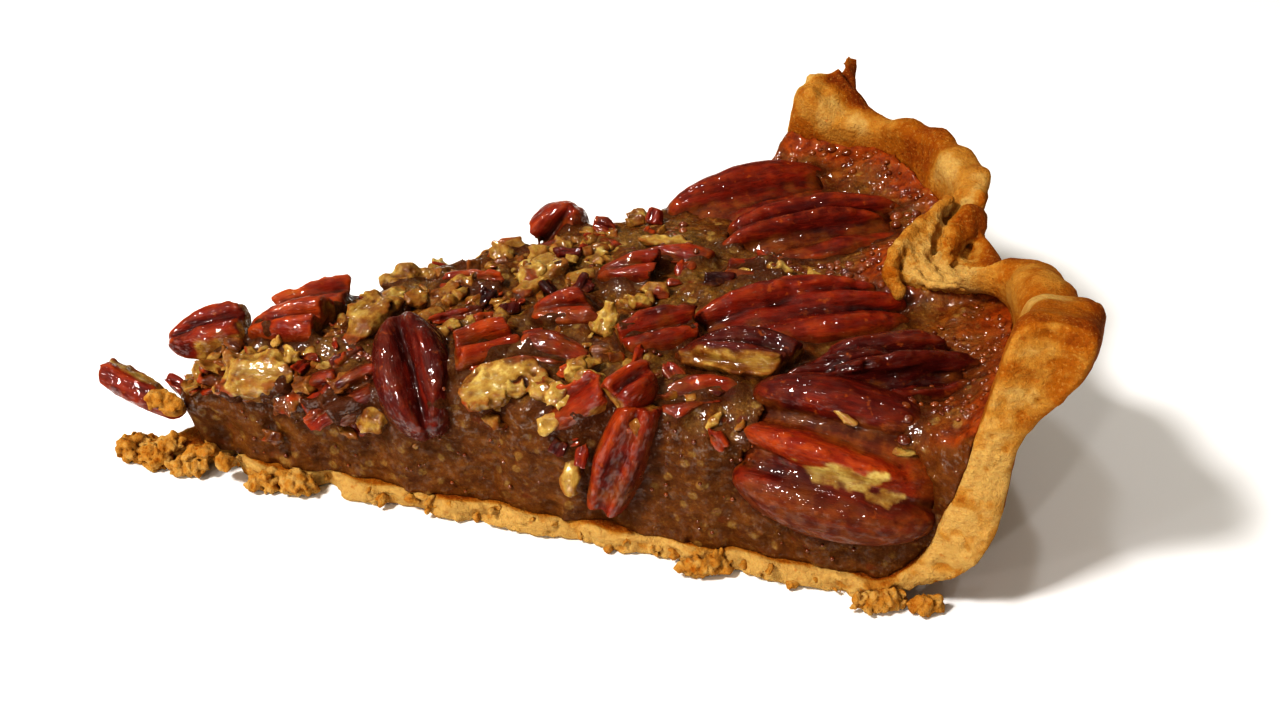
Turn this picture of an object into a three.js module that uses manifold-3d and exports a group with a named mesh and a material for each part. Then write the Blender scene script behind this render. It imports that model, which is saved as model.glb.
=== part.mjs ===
// Slice of deep-dish pecan pie, cut as one eighth of a round pie and standing on its floor crust.
// Millimetres, +Z up. The pie's centre is the slice's tip, and +X runs from the tip to the rim.
// At the end the group is shifted so that the origin is the middle of the slice's footprint, on the table.
import * as THREE from "three";
import { mergeVertices } from "three/addons/utils/BufferGeometryUtils.js";
import Module from "manifold-3d";

const wasm = await Module();
wasm.setup();

// ---------- driving dimensions ----------
const HALF_ANGLE = 23.1; // half of the slice's opening angle, degrees
const FLOOR_THICK = 3.2; // floor crust
const FOOT_RADIUS = 102; // where the flat bottom ends
const OUTER_RADIUS = 118; // outside of the wall above the rounded bottom corner
const INNER_RADIUS = 111.6; // inside of the wall above the corner
const CORNER_OUT = 5.0; // how quickly the outside corner rounds off
const CORNER_IN = 4.2; // how quickly the inside corner rounds off
const RIM_HEIGHT = 34.2; // rim on the crimps
const RIM_NEAR = 9; // how much higher it stands at the near cut
const RIM_REACH = 124.6; // outermost part of the crimped rim
const LEAN = 0.25; // the crimps lean sideways as they rise, degrees per mm
const FILL_LEVEL = 24.3; // filling half way out
const FILL_TIP = 13.2; // filling at the tip
const FILL_CLIMB = 2.8; // how far it climbs at the crust
const GAP = 0.35; // clearance between touching pieces
const CLEAR = 0.9; // how far each pecan's hollow is larger than the pecan
const CRUST_COLOUR = 0xd9a056;
const FILL_COLOUR = 0x6b4526;
const SKIN_COLOUR = 0x7a2a12;
const FLESH_COLOUR = 0xc49a5c;

const rad = THREE.MathUtils.degToRad;
const mix = THREE.MathUtils.lerp;
const smooth = THREE.MathUtils.smoothstep; // (x, from, to)
const bump = (x, centre, width) => Math.exp(-(((x - centre) / width) ** 2));
const step = (x, centre, width) => 1 / (1 + Math.exp(-(x - centre) / width));

// ---------- booleans ----------
function solid(geometry) {
  let g = geometry.clone();
  for (const name of Object.keys(g.attributes))
    if (name !== "position") g.deleteAttribute(name);
  g = mergeVertices(g, 1e-4);
  const made = (flip) => {
    const tri = new Uint32Array(g.index.array);
    if (flip)
      for (let i = 0; i < tri.length; i += 3)
        [tri[i + 1], tri[i + 2]] = [tri[i + 2], tri[i + 1]];
    return new wasm.Manifold(
      new wasm.Mesh({
        numProp: 3,
        vertProperties: new Float32Array(g.attributes.position.array),
        triVerts: tri,
      }),
    );
  };
  const first = made(false);
  return first.volume() < 0 ? made(true) : first;
}

function largest(s) {
  return s.decompose().reduce((a, b) => (b.volume() > a.volume() ? b : a));
}

function geometryOf(s) {
  const m = s.getMesh(),
    g = new THREE.BufferGeometry(),
    n = m.numProp,
    v = new Float32Array(m.numVert * 3);
  for (let i = 0; i < m.numVert; i++)
    v.set(m.vertProperties.subarray(i * n, i * n + 3), i * 3);
  g.setAttribute("position", new THREE.BufferAttribute(v, 3));
  g.setIndex(new THREE.BufferAttribute(new Uint32Array(m.triVerts), 1));
  g.computeVertexNormals();
  return g;
}

// ---------- crust ----------
// Inside face of the crimped wall where the filling meets it: two wide outward crimps,
// parted by a narrow pinched fold, with a shallow fold near the far cut.
function innerFlute(t) {
  const valley = 104.8,
    near = 118.8 + 0.36 * Math.min(0, t + 8),
    far = 116.8 - 9.5 * bump(t, 22.6, 5);
  return (
    valley +
    (near - valley) * step(-t, 6.0, 0.35) +
    (far - valley) * step(t, 2.5, 1.1)
  );
}
// Outside of the crimped rim: its folds are shallower than the inside's.
function outerFlute(t) {
  return (
    RIM_REACH -
    0.12 * t -
    8.5 * bump(t, -2.5, 4.2) -
    5.5 * bump(t, 17.5, 4) -
    7 * bump(t, -29, 7)
  );
}
function rimTop(t) {
  return (
    RIM_HEIGHT +
    RIM_NEAR * smooth(-t, 10, 22) -
    3.8 * bump(t, -4.2, 3.6) -
    2.6 * bump(t, 17.5, 3) +
    2.0 * bump(t, 25, 3.6) +
    0.3 * Math.sin(t * 1.9)
  );
}
function innerWall(t, z) {
  const round =
      INNER_RADIUS -
      (INNER_RADIUS - 104.6) * Math.exp(-(z - FLOOR_THICK) / CORNER_IN),
    lean = t + LEAN * Math.max(0, z - 27);
  return mix(round, innerFlute(lean), smooth(z, 12, 27)) + 0.1 * Math.max(0, z - 27);
}
const WALL_LEAST = 3.2; // the wall stays at least this thick behind a deep flute
function outerWall(t, z) {
  const round =
    OUTER_RADIUS -
    (OUTER_RADIUS - FOOT_RADIUS) * Math.exp(-z / CORNER_OUT) +
    0.03 * z;
  return Math.max(
    mix(round, outerFlute(t + LEAN * (z - 36)), smooth(z, 25, 38)),
    innerWall(t, z) + WALL_LEAST * smooth(z, 10, 18),
  );
}

// Angles of the columns that the crust is built from, closer together at the pinched fold.
const columns = [];
for (let t = -33; t < 31; ) {
  columns.push(t);
  t += t > -8.5 && t < -4.5 ? 0.7 : t > -1 && t < 5 ? 1.2 : 2.2;
}
const HUB = new THREE.Vector3(-18, 0, 0); // where the columns meet, behind the tip

// A closed shell from pairs of points, one outside and one inside, along each column.
function fan(pairsAt) {
  const rows = columns.map((t) => {
      const c = Math.cos(rad(t)),
        s = Math.sin(rad(t));
      return pairsAt(t).map(([a, b]) =>
        [a, b].map(([r, z]) =>
          r === null ? [HUB.x, HUB.y, z] : [r * c, r * s, z],
        ),
      );
    }),
    out = [],
    quad = (a, b, c, d) => out.push(...a, ...b, ...c, ...a, ...c, ...d),
    n = rows[0].length;
  for (let j = 0; j + 1 < rows.length; j++)
    for (let k = 0; k + 1 < n; k++) {
      const p = rows[j],
        q = rows[j + 1];
      quad(p[k][0], q[k][0], q[k + 1][0], p[k + 1][0]);
      quad(p[k][1], p[k + 1][1], q[k + 1][1], q[k][1]);
    }
  for (let j = 0; j + 1 < rows.length; j++) {
    const p = rows[j][n - 1],
      q = rows[j + 1][n - 1];
    quad(p[0], q[0], q[1], p[1]);
  }
  for (let k = 0; k + 1 < n; k++) {
    const p = rows[0],
      q = rows[rows.length - 1];
    quad(p[k][0], p[k + 1][0], p[k + 1][1], p[k][1]);
    quad(q[k][0], q[k][1], q[k + 1][1], q[k + 1][0]);
  }
  return clean(out);
}
// Drops the triangles that collapse where columns share a point.
function clean(numbers) {
  const kept = [];
  for (let i = 0; i < numbers.length; i += 9) {
    const p = numbers.slice(i, i + 9),
      same = (a, b) =>
        Math.abs(p[a] - p[b]) +
          Math.abs(p[a + 1] - p[b + 1]) +
          Math.abs(p[a + 2] - p[b + 2]) <
        1e-6;
    if (!same(0, 3) && !same(3, 6) && !same(0, 6)) kept.push(...p);
  }
  return new THREE.BufferGeometry().setAttribute(
    "position",
    new THREE.BufferAttribute(new Float32Array(kept), 3),
  );
}

const LOW = [1, 3.2, 7, 12, 18, 24, 28];
function crustPairs(t) {
  const top = rimTop(t),
    pairs = [
      [
        [null, 0],
        [null, FLOOR_THICK],
      ],
      [
        [FOOT_RADIUS, 0],
        [104.6, FLOOR_THICK],
      ],
    ];
  for (const z of LOW) {
    const zi = Math.max(z, FLOOR_THICK + 0.5 * z * (1 - smooth(z, 0, 8)));
    pairs.push([
      [outerWall(t, z), z],
      [innerWall(t, zi), zi],
    ]);
  }
  const a = innerWall(t, top),
    b = outerWall(t, top),
    m = (a + b) / 2,
    w = (b - a) / 2;
  for (const [drop, share] of [
    [3.2, 1],
    [1.4, 0.9],
    [0.4, 0.66],
    [0, 0.3],
  ])
    pairs.push([
      [m + w * share, top - drop],
      [m - w * share, top - drop],
    ]);
  return pairs;
}
const crustShell = solid(fan(crustPairs));

// The room inside the crust, kept clear of it all over.
function cavityPairs(t) {
  const clear = (z) =>
      Math.min(
        innerWall(t - 0.25, z),
        innerWall(t, z),
        innerWall(t + 0.25, z),
      ) - GAP,
    floor = FLOOR_THICK + 0.3,
    pairs = [
      [
        [null, floor],
        [null, 60],
      ],
      [
        [104.0, floor],
        [100, 60],
      ],
    ];
  for (const z of [...LOW, 36, 46]) {
    const zi = Math.max(z, FLOOR_THICK + 0.5 * z * (1 - smooth(z, 0, 8))) + 0.3;
    pairs.push([
      [clear(zi), zi],
      [100, 60],
    ]);
  }
  return pairs;
}

// ---------- the two cuts ----------
const cutNear = new THREE.Vector2(Math.cos(rad(HALF_ANGLE)), -Math.sin(rad(HALF_ANGLE)));
const cutFar = new THREE.Vector2(Math.cos(rad(HALF_ANGLE)), Math.sin(rad(HALF_ANGLE)));
// Distance outwards from a cut's plane.
const pastNear = (x, y) => -x * Math.sin(rad(HALF_ANGLE)) - y * Math.cos(rad(HALF_ANGLE));
const pastFar = (x, y) => -x * Math.sin(rad(HALF_ANGLE)) + y * Math.cos(rad(HALF_ANGLE));

// An upright prism over the slice's outline. Each edge wanders a little, as a knife's cut through crumbs does.
function wedge(tip, nearEdge, farEdge, start) {
  const shape = new THREE.Shape();
  shape.moveTo(tip[0], tip[1]);
  for (let s = start; s <= 132; s += 4)
    shape.lineTo(
      cutNear.x * s - Math.sin(rad(HALF_ANGLE)) * nearEdge(s),
      cutNear.y * s - Math.cos(rad(HALF_ANGLE)) * nearEdge(s),
    );
  for (let s = 132; s >= start; s -= 4)
    shape.lineTo(
      cutFar.x * s - Math.sin(rad(HALF_ANGLE)) * farEdge(s),
      cutFar.y * s + Math.cos(rad(HALF_ANGLE)) * farEdge(s),
    );
  return solid(
    new THREE.ExtrudeGeometry(shape, { depth: 80, bevelEnabled: false }).translate(0, 0, -10),
  );
}

const crustEdgeNear = (s) =>
  0.45 * Math.sin(0.55 * s + 1) -
  4.2 * bump(s, 12.5, 2.4) +
  1.1 * bump(s, 20, 3.4) -
  2 * bump(s, 28, 1.7);
const crustEdgeFar = (s) => 0.45 * Math.sin(0.62 * s + 2.2) - 2.4 * bump(s, 17, 3);
const crust = largest(
  crustShell.intersect(wedge([-2.6, 0.6], crustEdgeNear, crustEdgeFar, 4)),
);

// ---------- filling ----------
function fillTop(x, y) {
  const r = Math.hypot(x, y),
    t = THREE.MathUtils.radToDeg(Math.atan2(y, x)),
    out =
      FILL_TIP +
      (FILL_LEVEL - FILL_TIP) * (1 - Math.exp(-Math.max(0, r) / 27)) +
      0.012 * Math.max(0, r - 40),
    wall = innerWall(THREE.MathUtils.clamp(t, -30, 30), 27) - r,
    climb = FILL_CLIMB * Math.exp(-Math.max(0, wall) / 4.5),
    nearSide = Math.max(0, -pastNear(x, y)),
    farSide = Math.max(0, -pastFar(x, y)),
    slump =
      2.6 * Math.exp(-((nearSide / 4) ** 2)) +
      3.4 * Math.exp(-((farSide / 4.5) ** 2)) +
      2.2 * bump(t, 24, 8) * smooth(r, 20, 60),
    dent =
      0.7 * smooth(r, 14, 30) + 1.1 * Math.exp(-(((x - 91) / 14) ** 2) - ((y - 21) / 6) ** 2);
  return (
    out +
    climb -
    slump * (1 - 0.75 * Math.exp(-Math.max(0, wall) / 8)) -
    dent * (1 - Math.exp(-Math.max(0, wall) / 5)) +
    0.35 * Math.sin(x * 0.31 + y * 0.17) * Math.sin(y * 0.29 - x * 0.11)
  );
}
// A closed block whose top follows fillTop.
function block(step) {
  const out = [],
    x0 = -8,
    nx = Math.ceil(134 / step),
    ny = Math.ceil(120 / step),
    top = (i, j) => {
      const x = x0 + i * step,
        y = -60 + j * step;
      return [x, y, fillTop(x, y)];
    },
    low = (i, j) => [x0 + i * step, -60 + j * step, -5],
    quad = (a, b, c, d) => out.push(...a, ...b, ...c, ...a, ...c, ...d);
  for (let i = 0; i < nx; i++)
    for (let j = 0; j < ny; j++) {
      quad(top(i, j), top(i + 1, j), top(i + 1, j + 1), top(i, j + 1));
      quad(low(i, j), low(i, j + 1), low(i + 1, j + 1), low(i + 1, j));
    }
  for (let i = 0; i < nx; i++) {
    quad(low(i, 0), low(i + 1, 0), top(i + 1, 0), top(i, 0));
    quad(low(i + 1, ny), low(i, ny), top(i, ny), top(i + 1, ny));
  }
  for (let j = 0; j < ny; j++) {
    quad(low(0, j + 1), low(0, j), top(0, j), top(0, j + 1));
    quad(low(nx, j), low(nx, j + 1), top(nx, j + 1), top(nx, j));
  }
  return solid(
    new THREE.BufferGeometry().setAttribute(
      "position",
      new THREE.BufferAttribute(new Float32Array(out), 3),
    ),
  );
}
const fillEdgeNear = (s) => -0.6 + 0.5 * Math.sin(0.33 * s + 0.6) + 0.3 * Math.sin(0.8 * s);
const fillEdgeFar = (s) =>
  -0.9 + 0.6 * Math.sin(0.29 * s + 2) + 0.3 * Math.sin(0.7 * s + 1) + 1.3 * bump(s, 67, 6);
const room = solid(fan(cavityPairs));
let filling = room
  .intersect(block(7))
  .intersect(wedge([5.2, -0.4], fillEdgeNear, fillEdgeFar, 9));

// ---------- pecans ----------
// Half a kernel, flat side down: three long lobes parted by two grooves that run out at the ends.
// The plain form, without lobes, is the hollow that it leaves in the filling.
function pecanHalf(length, width, thick, plain, whole) {
  const SECTIONS = plain ? (whole ? 5 : 4) : whole ? 8 : 5,
    UPPER = plain
      ? [0, 50, 130, 180]
      : whole
        ? [0, 28, 48, 62, 77, 103, 118, 132, 152, 180]
        : [0, 36, 62, 90, 118, 144, 180],
    ring = [];
  for (let i = 1; i < SECTIONS; i++) {
    const u = -Math.cos((Math.PI * i) / SECTIONS),
      fuller = plain ? 1.17 : 1,
      w = fuller * (width / 2) * (1 - Math.abs(u) ** 2.4) ** 0.55 * (1 - 0.07 * u),
      h = fuller * thick * (1 - Math.abs(u) ** 2.6) ** 0.5,
      deep = plain ? 0 : 0.3 * (1 - u ** 4),
      row = [];
    for (const a of UPPER) {
      const f = 1 - deep * (bump(a, 62, 9) + bump(a, 118, 9));
      row.push([
        (u * length) / 2,
        w * Math.cos(rad(a)) * f,
        0.12 * h + 0.88 * h * Math.sin(rad(a)) ** 0.85 * f,
      ]);
    }
    for (const v of [-0.62, 0.62]) row.push([(u * length) / 2, w * v, 0]);
    ring.push(row);
  }
  const out = [],
    n = ring[0].length,
    a = [-length / 2, 0, thick * 0.2],
    b = [length / 2, 0, thick * 0.2];
  for (let k = 0; k < n; k++) {
    const m = (k + 1) % n,
      last = ring[ring.length - 1];
    out.push(...a, ...ring[0][m], ...ring[0][k]);
    out.push(...b, ...last[k], ...last[m]);
    for (let i = 0; i + 1 < ring.length; i++)
      out.push(
        ...ring[i][k],
        ...ring[i][m],
        ...ring[i + 1][m],
        ...ring[i][k],
        ...ring[i + 1][m],
        ...ring[i + 1][k],
      );
  }
  return new THREE.BufferGeometry().setAttribute(
    "position",
    new THREE.BufferAttribute(new Float32Array(out), 3),
  );
}

// name, one end, other end, width, thickness, the way its rounded side faces,
// and the part of the half kernel that is kept: along its length and across it, -1 to 1.
const NUTS = [
  ["pecan_half_1", [78.0, 23.5, 21.6], [105.8, 29.4, 22.8], 16, 8.2, [0, -0.25, 1], [-1, 1, -1, 1]],
  ["pecan_half_2", [83.0, 11.6, 23.0], [112.0, 11.8, 24.6], 16.5, 8.6, [0, -0.25, 1], [-1, 1, -1, 1]],
  ["pecan_half_3", [76.6, -10.0, 23.4], [105.6, -11.5, 25.0], 14, 7.8, [0, -0.2, 1], [-1, 1, -1, 1]],
  ["pecan_half_4", [83.6, -27.5, 23.8], [110.8, -27.6, 25.3], 15, 7.8, [-0.1, -0.25, 1], [-1, 1, -1, 1]],
  ["pecan_half_5", [78.6, -30.0, 20.3], [104.4, -41.0, 18.6], 19.5, 8.8, [-0.31, -0.74, 0.62], [-1, 1, -1, 1]],
  ["piece_01", [-4.2, 0.6, 14.2], [7.0, -4.3, 10.9], 4, 3.6, [-0.3, -0.75, 0.6], [-1, -0.1, -1, 0.1]],
  ["piece_02", [5.9, 1.5, 18.0], [16.4, 2.5, 19.4], 7, 5, [0, -0.3, 1], [-1, 0, -1, 0.5]],
  ["piece_03", [16.8, 1.2, 20.0], [27.3, -0.1, 21.0], 8.5, 6.5, [0, -0.2, 1], [-1, 0.1, -1, 1]],
  ["piece_04", [14.6, -5.4, 17.6], [22.8, -7.6, 17.4], 7, 5, [0, 0.5, -1], [-0.5, 0.5, -1, 0.6]],
  ["piece_05", [21.4, 5.1, 19.8], [30.6, 6.2, 20.3], 6.5, 5, [0, -0.2, 1], [-0.7, 0.3, -1, 0.4]],
  ["piece_06", [29.4, -6.2, 20.3], [37.2, 2.2, 22.0], 5, 4.2, [0.2, 0.6, -1], [-0.6, 0.6, -0.2, 1]],
  ["piece_07", [38.2, -6.3, 25.0], [41.6, -18.1, 17.5], 11.5, 6.5, [-0.1, -0.6, 0.8], [-1, 0.1, -1, 1]],
  ["piece_08", [24.4, -10.2, 15.4], [30.5, -11.4, 17.8], 6, 5, [0, -0.6, 0.8], [-0.4, 0.5, -1, 1]],
  ["piece_09", [29.1, -13.0, 16.5], [36.6, -11.9, 19.5], 6.5, 5, [0, -0.6, 0.8], [-0.4, 0.5, -1, 1]],
  ["piece_10", [44.9, -12.4, 22.2], [53.4, -11.1, 23.2], 8, 6, [0, -0.4, 1], [-0.4, 0.4, -1, 1]],
  ["piece_11", [53.4, -12.5, 23.5], [62.8, -15.5, 23.5], 6, 4.5, [0, -0.5, 1], [-0.5, 0.9, -0.2, 1]],
  ["piece_12", [46.4, -18.2, 20.5], [56.0, -17.4, 22.2], 5.6, 4.4, [0, 0.4, -1], [-0.5, 0.6, -1, 0.2]],
  ["piece_13", [54.9, -5.1, 23.0], [63.4, -5.4, 23.4], 8.2, 6, [0.2, -0.5, 1], [-1, -0.1, -1, 1]],
  ["piece_14", [52.9, 2.4, 22.3], [60.0, 7.0, 23.2], 4.2, 3.8, [0, -0.2, -1], [-0.5, 0.5, -0.4, 0.6]],
  ["piece_15", [64.9, 4.2, 23.4], [73.0, 3.5, 23.9], 7, 5.6, [0, -0.3, 1], [-1, 0, -1, 1]],
  ["piece_16", [70.0, 10.2, 23.0], [82.5, 6.4, 24.0], 4.6, 4.2, [0, -0.3, 1], [-0.9, 0.7, -0.1, 1]],
  ["piece_17", [59.4, 23.3, 18.5], [63.7, 24.9, 24.0], 10.5, 6.5, [-0.2, -0.7, 0.6], [-0.1, 1, -1, 1]],
  ["piece_18", [44.4, 11.3, 19.6], [55.6, 16.6, 20.4], 6.4, 4.8, [0, 0.3, -1], [-0.7, 0.5, -1, 0.5]],
  ["piece_19", [56.7, -22.6, 17.0], [64.0, -24.6, 23.9], 6.5, 5, [-0.27, -0.64, 0.7], [-0.6, 0.4, -1, 0.3]],
  ["piece_20", [64.6, -27.8, 24.0], [69.4, -24.6, 25.2], 5, 4.2, [-0.2, -0.5, 0.8], [-0.4, 0.6, -1, 0.6]],
  ["piece_21", [67.7, -28.2, 23.0], [63.2, -26.8, 7.2], 7.5, 5.5, [-0.31, -0.74, 0.4], [-0.9, 0.5, -0.5, 1]],
  ["piece_22", [67.0, -13.9, 23.2], [77.0, -12.4, 24.2], 7.4, 5.2, [0, -0.3, 1], [-0.5, 0.5, -1, 0.7]],
  ["piece_23", [74.0, -16.2, 24.9], [88.4, -21.6, 25.0], 8.6, 6.2, [0, -0.35, 0.9], [-1, 0.6, -0.35, 1]],
  ["piece_24", [71.4, -24.7, 22.3], [80.8, -25.8, 23.3], 6, 4.4, [0, -0.4, 1], [-0.6, 0.7, -0.3, 1]],
  ["piece_25", [83.2, 1.3, 23.4], [91.4, -0.1, 23.9], 6.2, 4.6, [0, -0.2, 1], [-0.6, 0.3, -1, 0.6]],
  ["piece_26", [43.4, 6.9, 20.6], [51.6, 5.4, 21.6], 5.4, 4.6, [0, -0.3, 1], [-0.6, 0.4, -1, 0.7]],
  ["piece_27", [35.6, 11.2, 19.6], [44.4, 10.8, 20.4], 5.4, 4.6, [0, 0.3, -1], [-0.5, 0.5, -1, 0.6]],
];

// One pecan piece in place, made larger all round by grow.
function pecan([, from, to, width, thick, face, [u0, u1, v0, v1]], grow, turn, plain) {
  const a = new THREE.Vector3(...from),
    b = new THREE.Vector3(...to),
    along = b.clone().sub(a),
    length = along.length(),
    whole = [(length * 2) / (u1 - u0), (width * 2) / (v1 - v0), thick];
  const broken = u0 > -1 || u1 < 1 || v0 > -1 || v1 < 1;
  let kernel = solid(pecanHalf(...whole, plain, !broken));
  if (broken) {
    const far = 0.6,
      lo = [
        u0 > -1 ? (u0 * whole[0]) / 2 : -whole[0] * far,
        v0 > -1 ? (v0 * whole[1]) / 2 : -whole[1] * far,
      ],
      hi = [
        u1 < 1 ? (u1 * whole[0]) / 2 : whole[0] * far,
        v1 < 1 ? (v1 * whole[1]) / 2 : whole[1] * far,
      ],
      box = new THREE.BoxGeometry(hi[0] - lo[0], hi[1] - lo[1], 40);
    box.rotateZ(0.12 * Math.sin(turn * 2.3));
    box.rotateY(0.2 * Math.sin(turn * 1.7 + 1));
    box.translate((lo[0] + hi[0]) / 2, (lo[1] + hi[1]) / 2, thick / 2);
    kernel = largest(kernel.intersect(solid(box)));
  }
  const middle = new THREE.Vector3(
      ((u0 + u1) / 4) * whole[0],
      ((v0 + v1) / 4) * whole[1],
      thick / 2,
    ),
    x = along.clone().normalize(),
    z = new THREE.Vector3(...face).addScaledVector(x, -x.dot(new THREE.Vector3(...face))).normalize(),
    y = z.clone().cross(x),
    place = new THREE.Matrix4()
      .makeBasis(x, y, z)
      .setPosition(a.clone().add(b).multiplyScalar(0.5)),
    scale = new THREE.Matrix4().makeScale(
      1 + (2 * grow) / length,
      1 + (2 * grow) / width,
      1 + (2 * grow) / thick,
    ),
    centre = new THREE.Matrix4().makeTranslation(-middle.x, -middle.y, -middle.z);
  const g = geometryOf(kernel);
  g.applyMatrix4(place.multiply(scale).multiply(centre));
  return solid(g);
}

const slice = new THREE.Group();
const look = (color, roughness) => new THREE.MeshStandardMaterial({ color, roughness, metalness: 0 });
const materials = {
  crust: look(CRUST_COLOUR, 0.85),
  filling: look(FILL_COLOUR, 0.3),
  skin: look(SKIN_COLOUR, 0.35),
  flesh: look(FLESH_COLOUR, 0.5),
};
function add(name, s, material) {
  const mesh = new THREE.Mesh(geometryOf(s), material);
  mesh.name = name;
  slice.add(mesh);
}

const placed = [];
NUTS.forEach((row, i) => {
  let piece = pecan(row, 0, i).intersect(room);
  for (const other of placed) piece = piece.subtract(other);
  piece = largest(piece);
  const hollow = pecan(row, CLEAR, i, true);
  placed.push(hollow);
  filling = filling.subtract(hollow);
  add(row[0], piece, row[5][2] < 0 ? materials.flesh : materials.skin);
});
add("filling", largest(filling), materials.filling);
add("crust", crust, materials.crust);

// Origin: the middle of the footprint's box, on the table.
const box = new THREE.Box3().setFromObject(slice);
slice.position.set(-(box.min.x + box.max.x) / 2, -(box.min.y + box.max.y) / 2, -box.min.z);

export default slice;
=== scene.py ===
import bpy
import math
import numpy as np
import openvdb as vdb
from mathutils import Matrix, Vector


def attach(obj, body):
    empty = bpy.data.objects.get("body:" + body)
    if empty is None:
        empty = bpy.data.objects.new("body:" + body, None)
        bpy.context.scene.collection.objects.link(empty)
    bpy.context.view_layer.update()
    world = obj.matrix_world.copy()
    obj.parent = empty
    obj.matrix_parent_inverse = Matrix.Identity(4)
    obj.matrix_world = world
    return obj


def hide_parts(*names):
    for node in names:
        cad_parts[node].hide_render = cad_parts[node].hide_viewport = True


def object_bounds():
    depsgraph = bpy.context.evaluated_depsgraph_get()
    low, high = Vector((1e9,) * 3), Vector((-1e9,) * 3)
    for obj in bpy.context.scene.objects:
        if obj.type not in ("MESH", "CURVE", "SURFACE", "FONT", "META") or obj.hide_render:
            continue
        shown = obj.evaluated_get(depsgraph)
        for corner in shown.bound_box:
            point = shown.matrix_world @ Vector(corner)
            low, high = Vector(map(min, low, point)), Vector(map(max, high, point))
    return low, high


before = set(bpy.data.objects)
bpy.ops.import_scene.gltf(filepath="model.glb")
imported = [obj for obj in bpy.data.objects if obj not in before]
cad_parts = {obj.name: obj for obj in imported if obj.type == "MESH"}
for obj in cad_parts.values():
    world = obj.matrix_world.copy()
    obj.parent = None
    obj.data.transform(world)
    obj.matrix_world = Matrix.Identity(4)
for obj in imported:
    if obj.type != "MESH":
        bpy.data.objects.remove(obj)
cad_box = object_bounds()

OFFSET = np.array([-59.1197, 0.7258, 0.0])  # the tip's frame seen from the part's frame
HALF_ANGLE = 23.1
FLOOR = 3.2
SIN, COS = math.sin(math.radians(HALF_ANGLE)), math.cos(math.radians(HALF_ANGLE))
f32 = np.float32


# ---------------------------------------------------------------- helpers
def bump(x, c, w):
    return np.exp(-(((x - c) / w) ** 2))


def step(x, c, w):
    return 1 / (1 + np.exp(-np.clip((x - c) / w, -40, 40)))


def smooth(x, a, b):
    t = np.clip((x - a) / (b - a), 0, 1)
    return t * t * (3 - 2 * t)


def mix(a, b, t):
    return a + (b - a) * t


def smin(a, b, k):
    h = np.maximum(k - np.abs(a - b), 0) / k
    return np.minimum(a, b) - h * h * k * 0.25


def smax(a, b, k):
    return -smin(-a, -b, k)


_tables = {}


def noise(x, y, z, size, seed):
    """Smooth noise from -1 to 1, with features of the given size. size is one number or one for each axis."""
    if seed not in _tables:
        _tables[seed] = (
            np.random.default_rng(seed).uniform(-1, 1, 64**3).astype(f32)
        )
    table = _tables[seed]
    sx, sy, sz = (size, size, size) if np.isscalar(size) else size
    out = []
    for v, s, o in ((x, sx, 17.3), (y, sy, 5.9), (z, sz, 41.7)):
        v = np.asarray(v, f32) / f32(s) + f32(o + seed * 1.37)
        i = np.floor(v)
        f = v - i
        out.append((i.astype(np.int32), f * f * f * (f * (f * 6 - 15) + 10)))
    (ix, fx), (iy, fy), (iz, fz) = out
    ix0, ix1 = (ix & 63) << 12, ((ix + 1) & 63) << 12
    iy0, iy1 = (iy & 63) << 6, ((iy + 1) & 63) << 6
    iz0, iz1 = iz & 63, (iz + 1) & 63
    a = table[ix0 + iy0 + iz0] * (1 - fz) + table[ix0 + iy0 + iz1] * fz
    b = table[ix0 + iy1 + iz0] * (1 - fz) + table[ix0 + iy1 + iz1] * fz
    c = table[ix1 + iy0 + iz0] * (1 - fz) + table[ix1 + iy0 + iz1] * fz
    d = table[ix1 + iy1 + iz0] * (1 - fz) + table[ix1 + iy1 + iz1] * fz
    a = a * (1 - fy) + b * fy
    c = c * (1 - fy) + d * fy
    return (a * (1 - fx) + c * fx) * 1.3


def fbm(x, y, z, size, seed, octaves=3, fall=0.5):
    out, amp = 0, 1.0
    for k in range(octaves):
        s = tuple(v / 2**k for v in size) if not np.isscalar(size) else size / 2**k
        out = out + amp * noise(x, y, z, s, seed + k)
        amp *= fall
    return out


class Grid:
    """A box of points, h apart, with a field over it."""

    def __init__(self, low, high, h):
        self.h = h
        self.low = np.floor(np.array(low, float) / h) * h
        self.n = np.ceil((np.array(high, float) - self.low) / h).astype(int) + 1
        self.axes = [
            (self.low[k] + h * np.arange(self.n[k])).astype(f32) for k in range(3)
        ]

    def points(self):
        return np.meshgrid(*self.axes, indexing="ij")

    def window(self, low, high):
        """Slices for the part of the grid between two corners."""
        out = []
        for k in range(3):
            a = int(np.clip(math.floor((low[k] - self.low[k]) / self.h), 0, self.n[k]))
            b = int(
                np.clip(math.ceil((high[k] - self.low[k]) / self.h) + 1, 0, self.n[k])
            )
            out.append(slice(a, b))
        return tuple(out)

    def part(self, w):
        return np.meshgrid(*[self.axes[k][w[k]] for k in range(3)], indexing="ij")


def even(F, h):
    """The field divided by its own steepness, so that it counts millimetres near the surface."""
    g = np.gradient(F, h)
    s = np.sqrt(g[0] ** 2 + g[1] ** 2 + g[2] ** 2)
    return (F / np.maximum(s, 0.35)).astype(f32)


def near(F, width):
    return np.abs(F) < width


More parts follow.
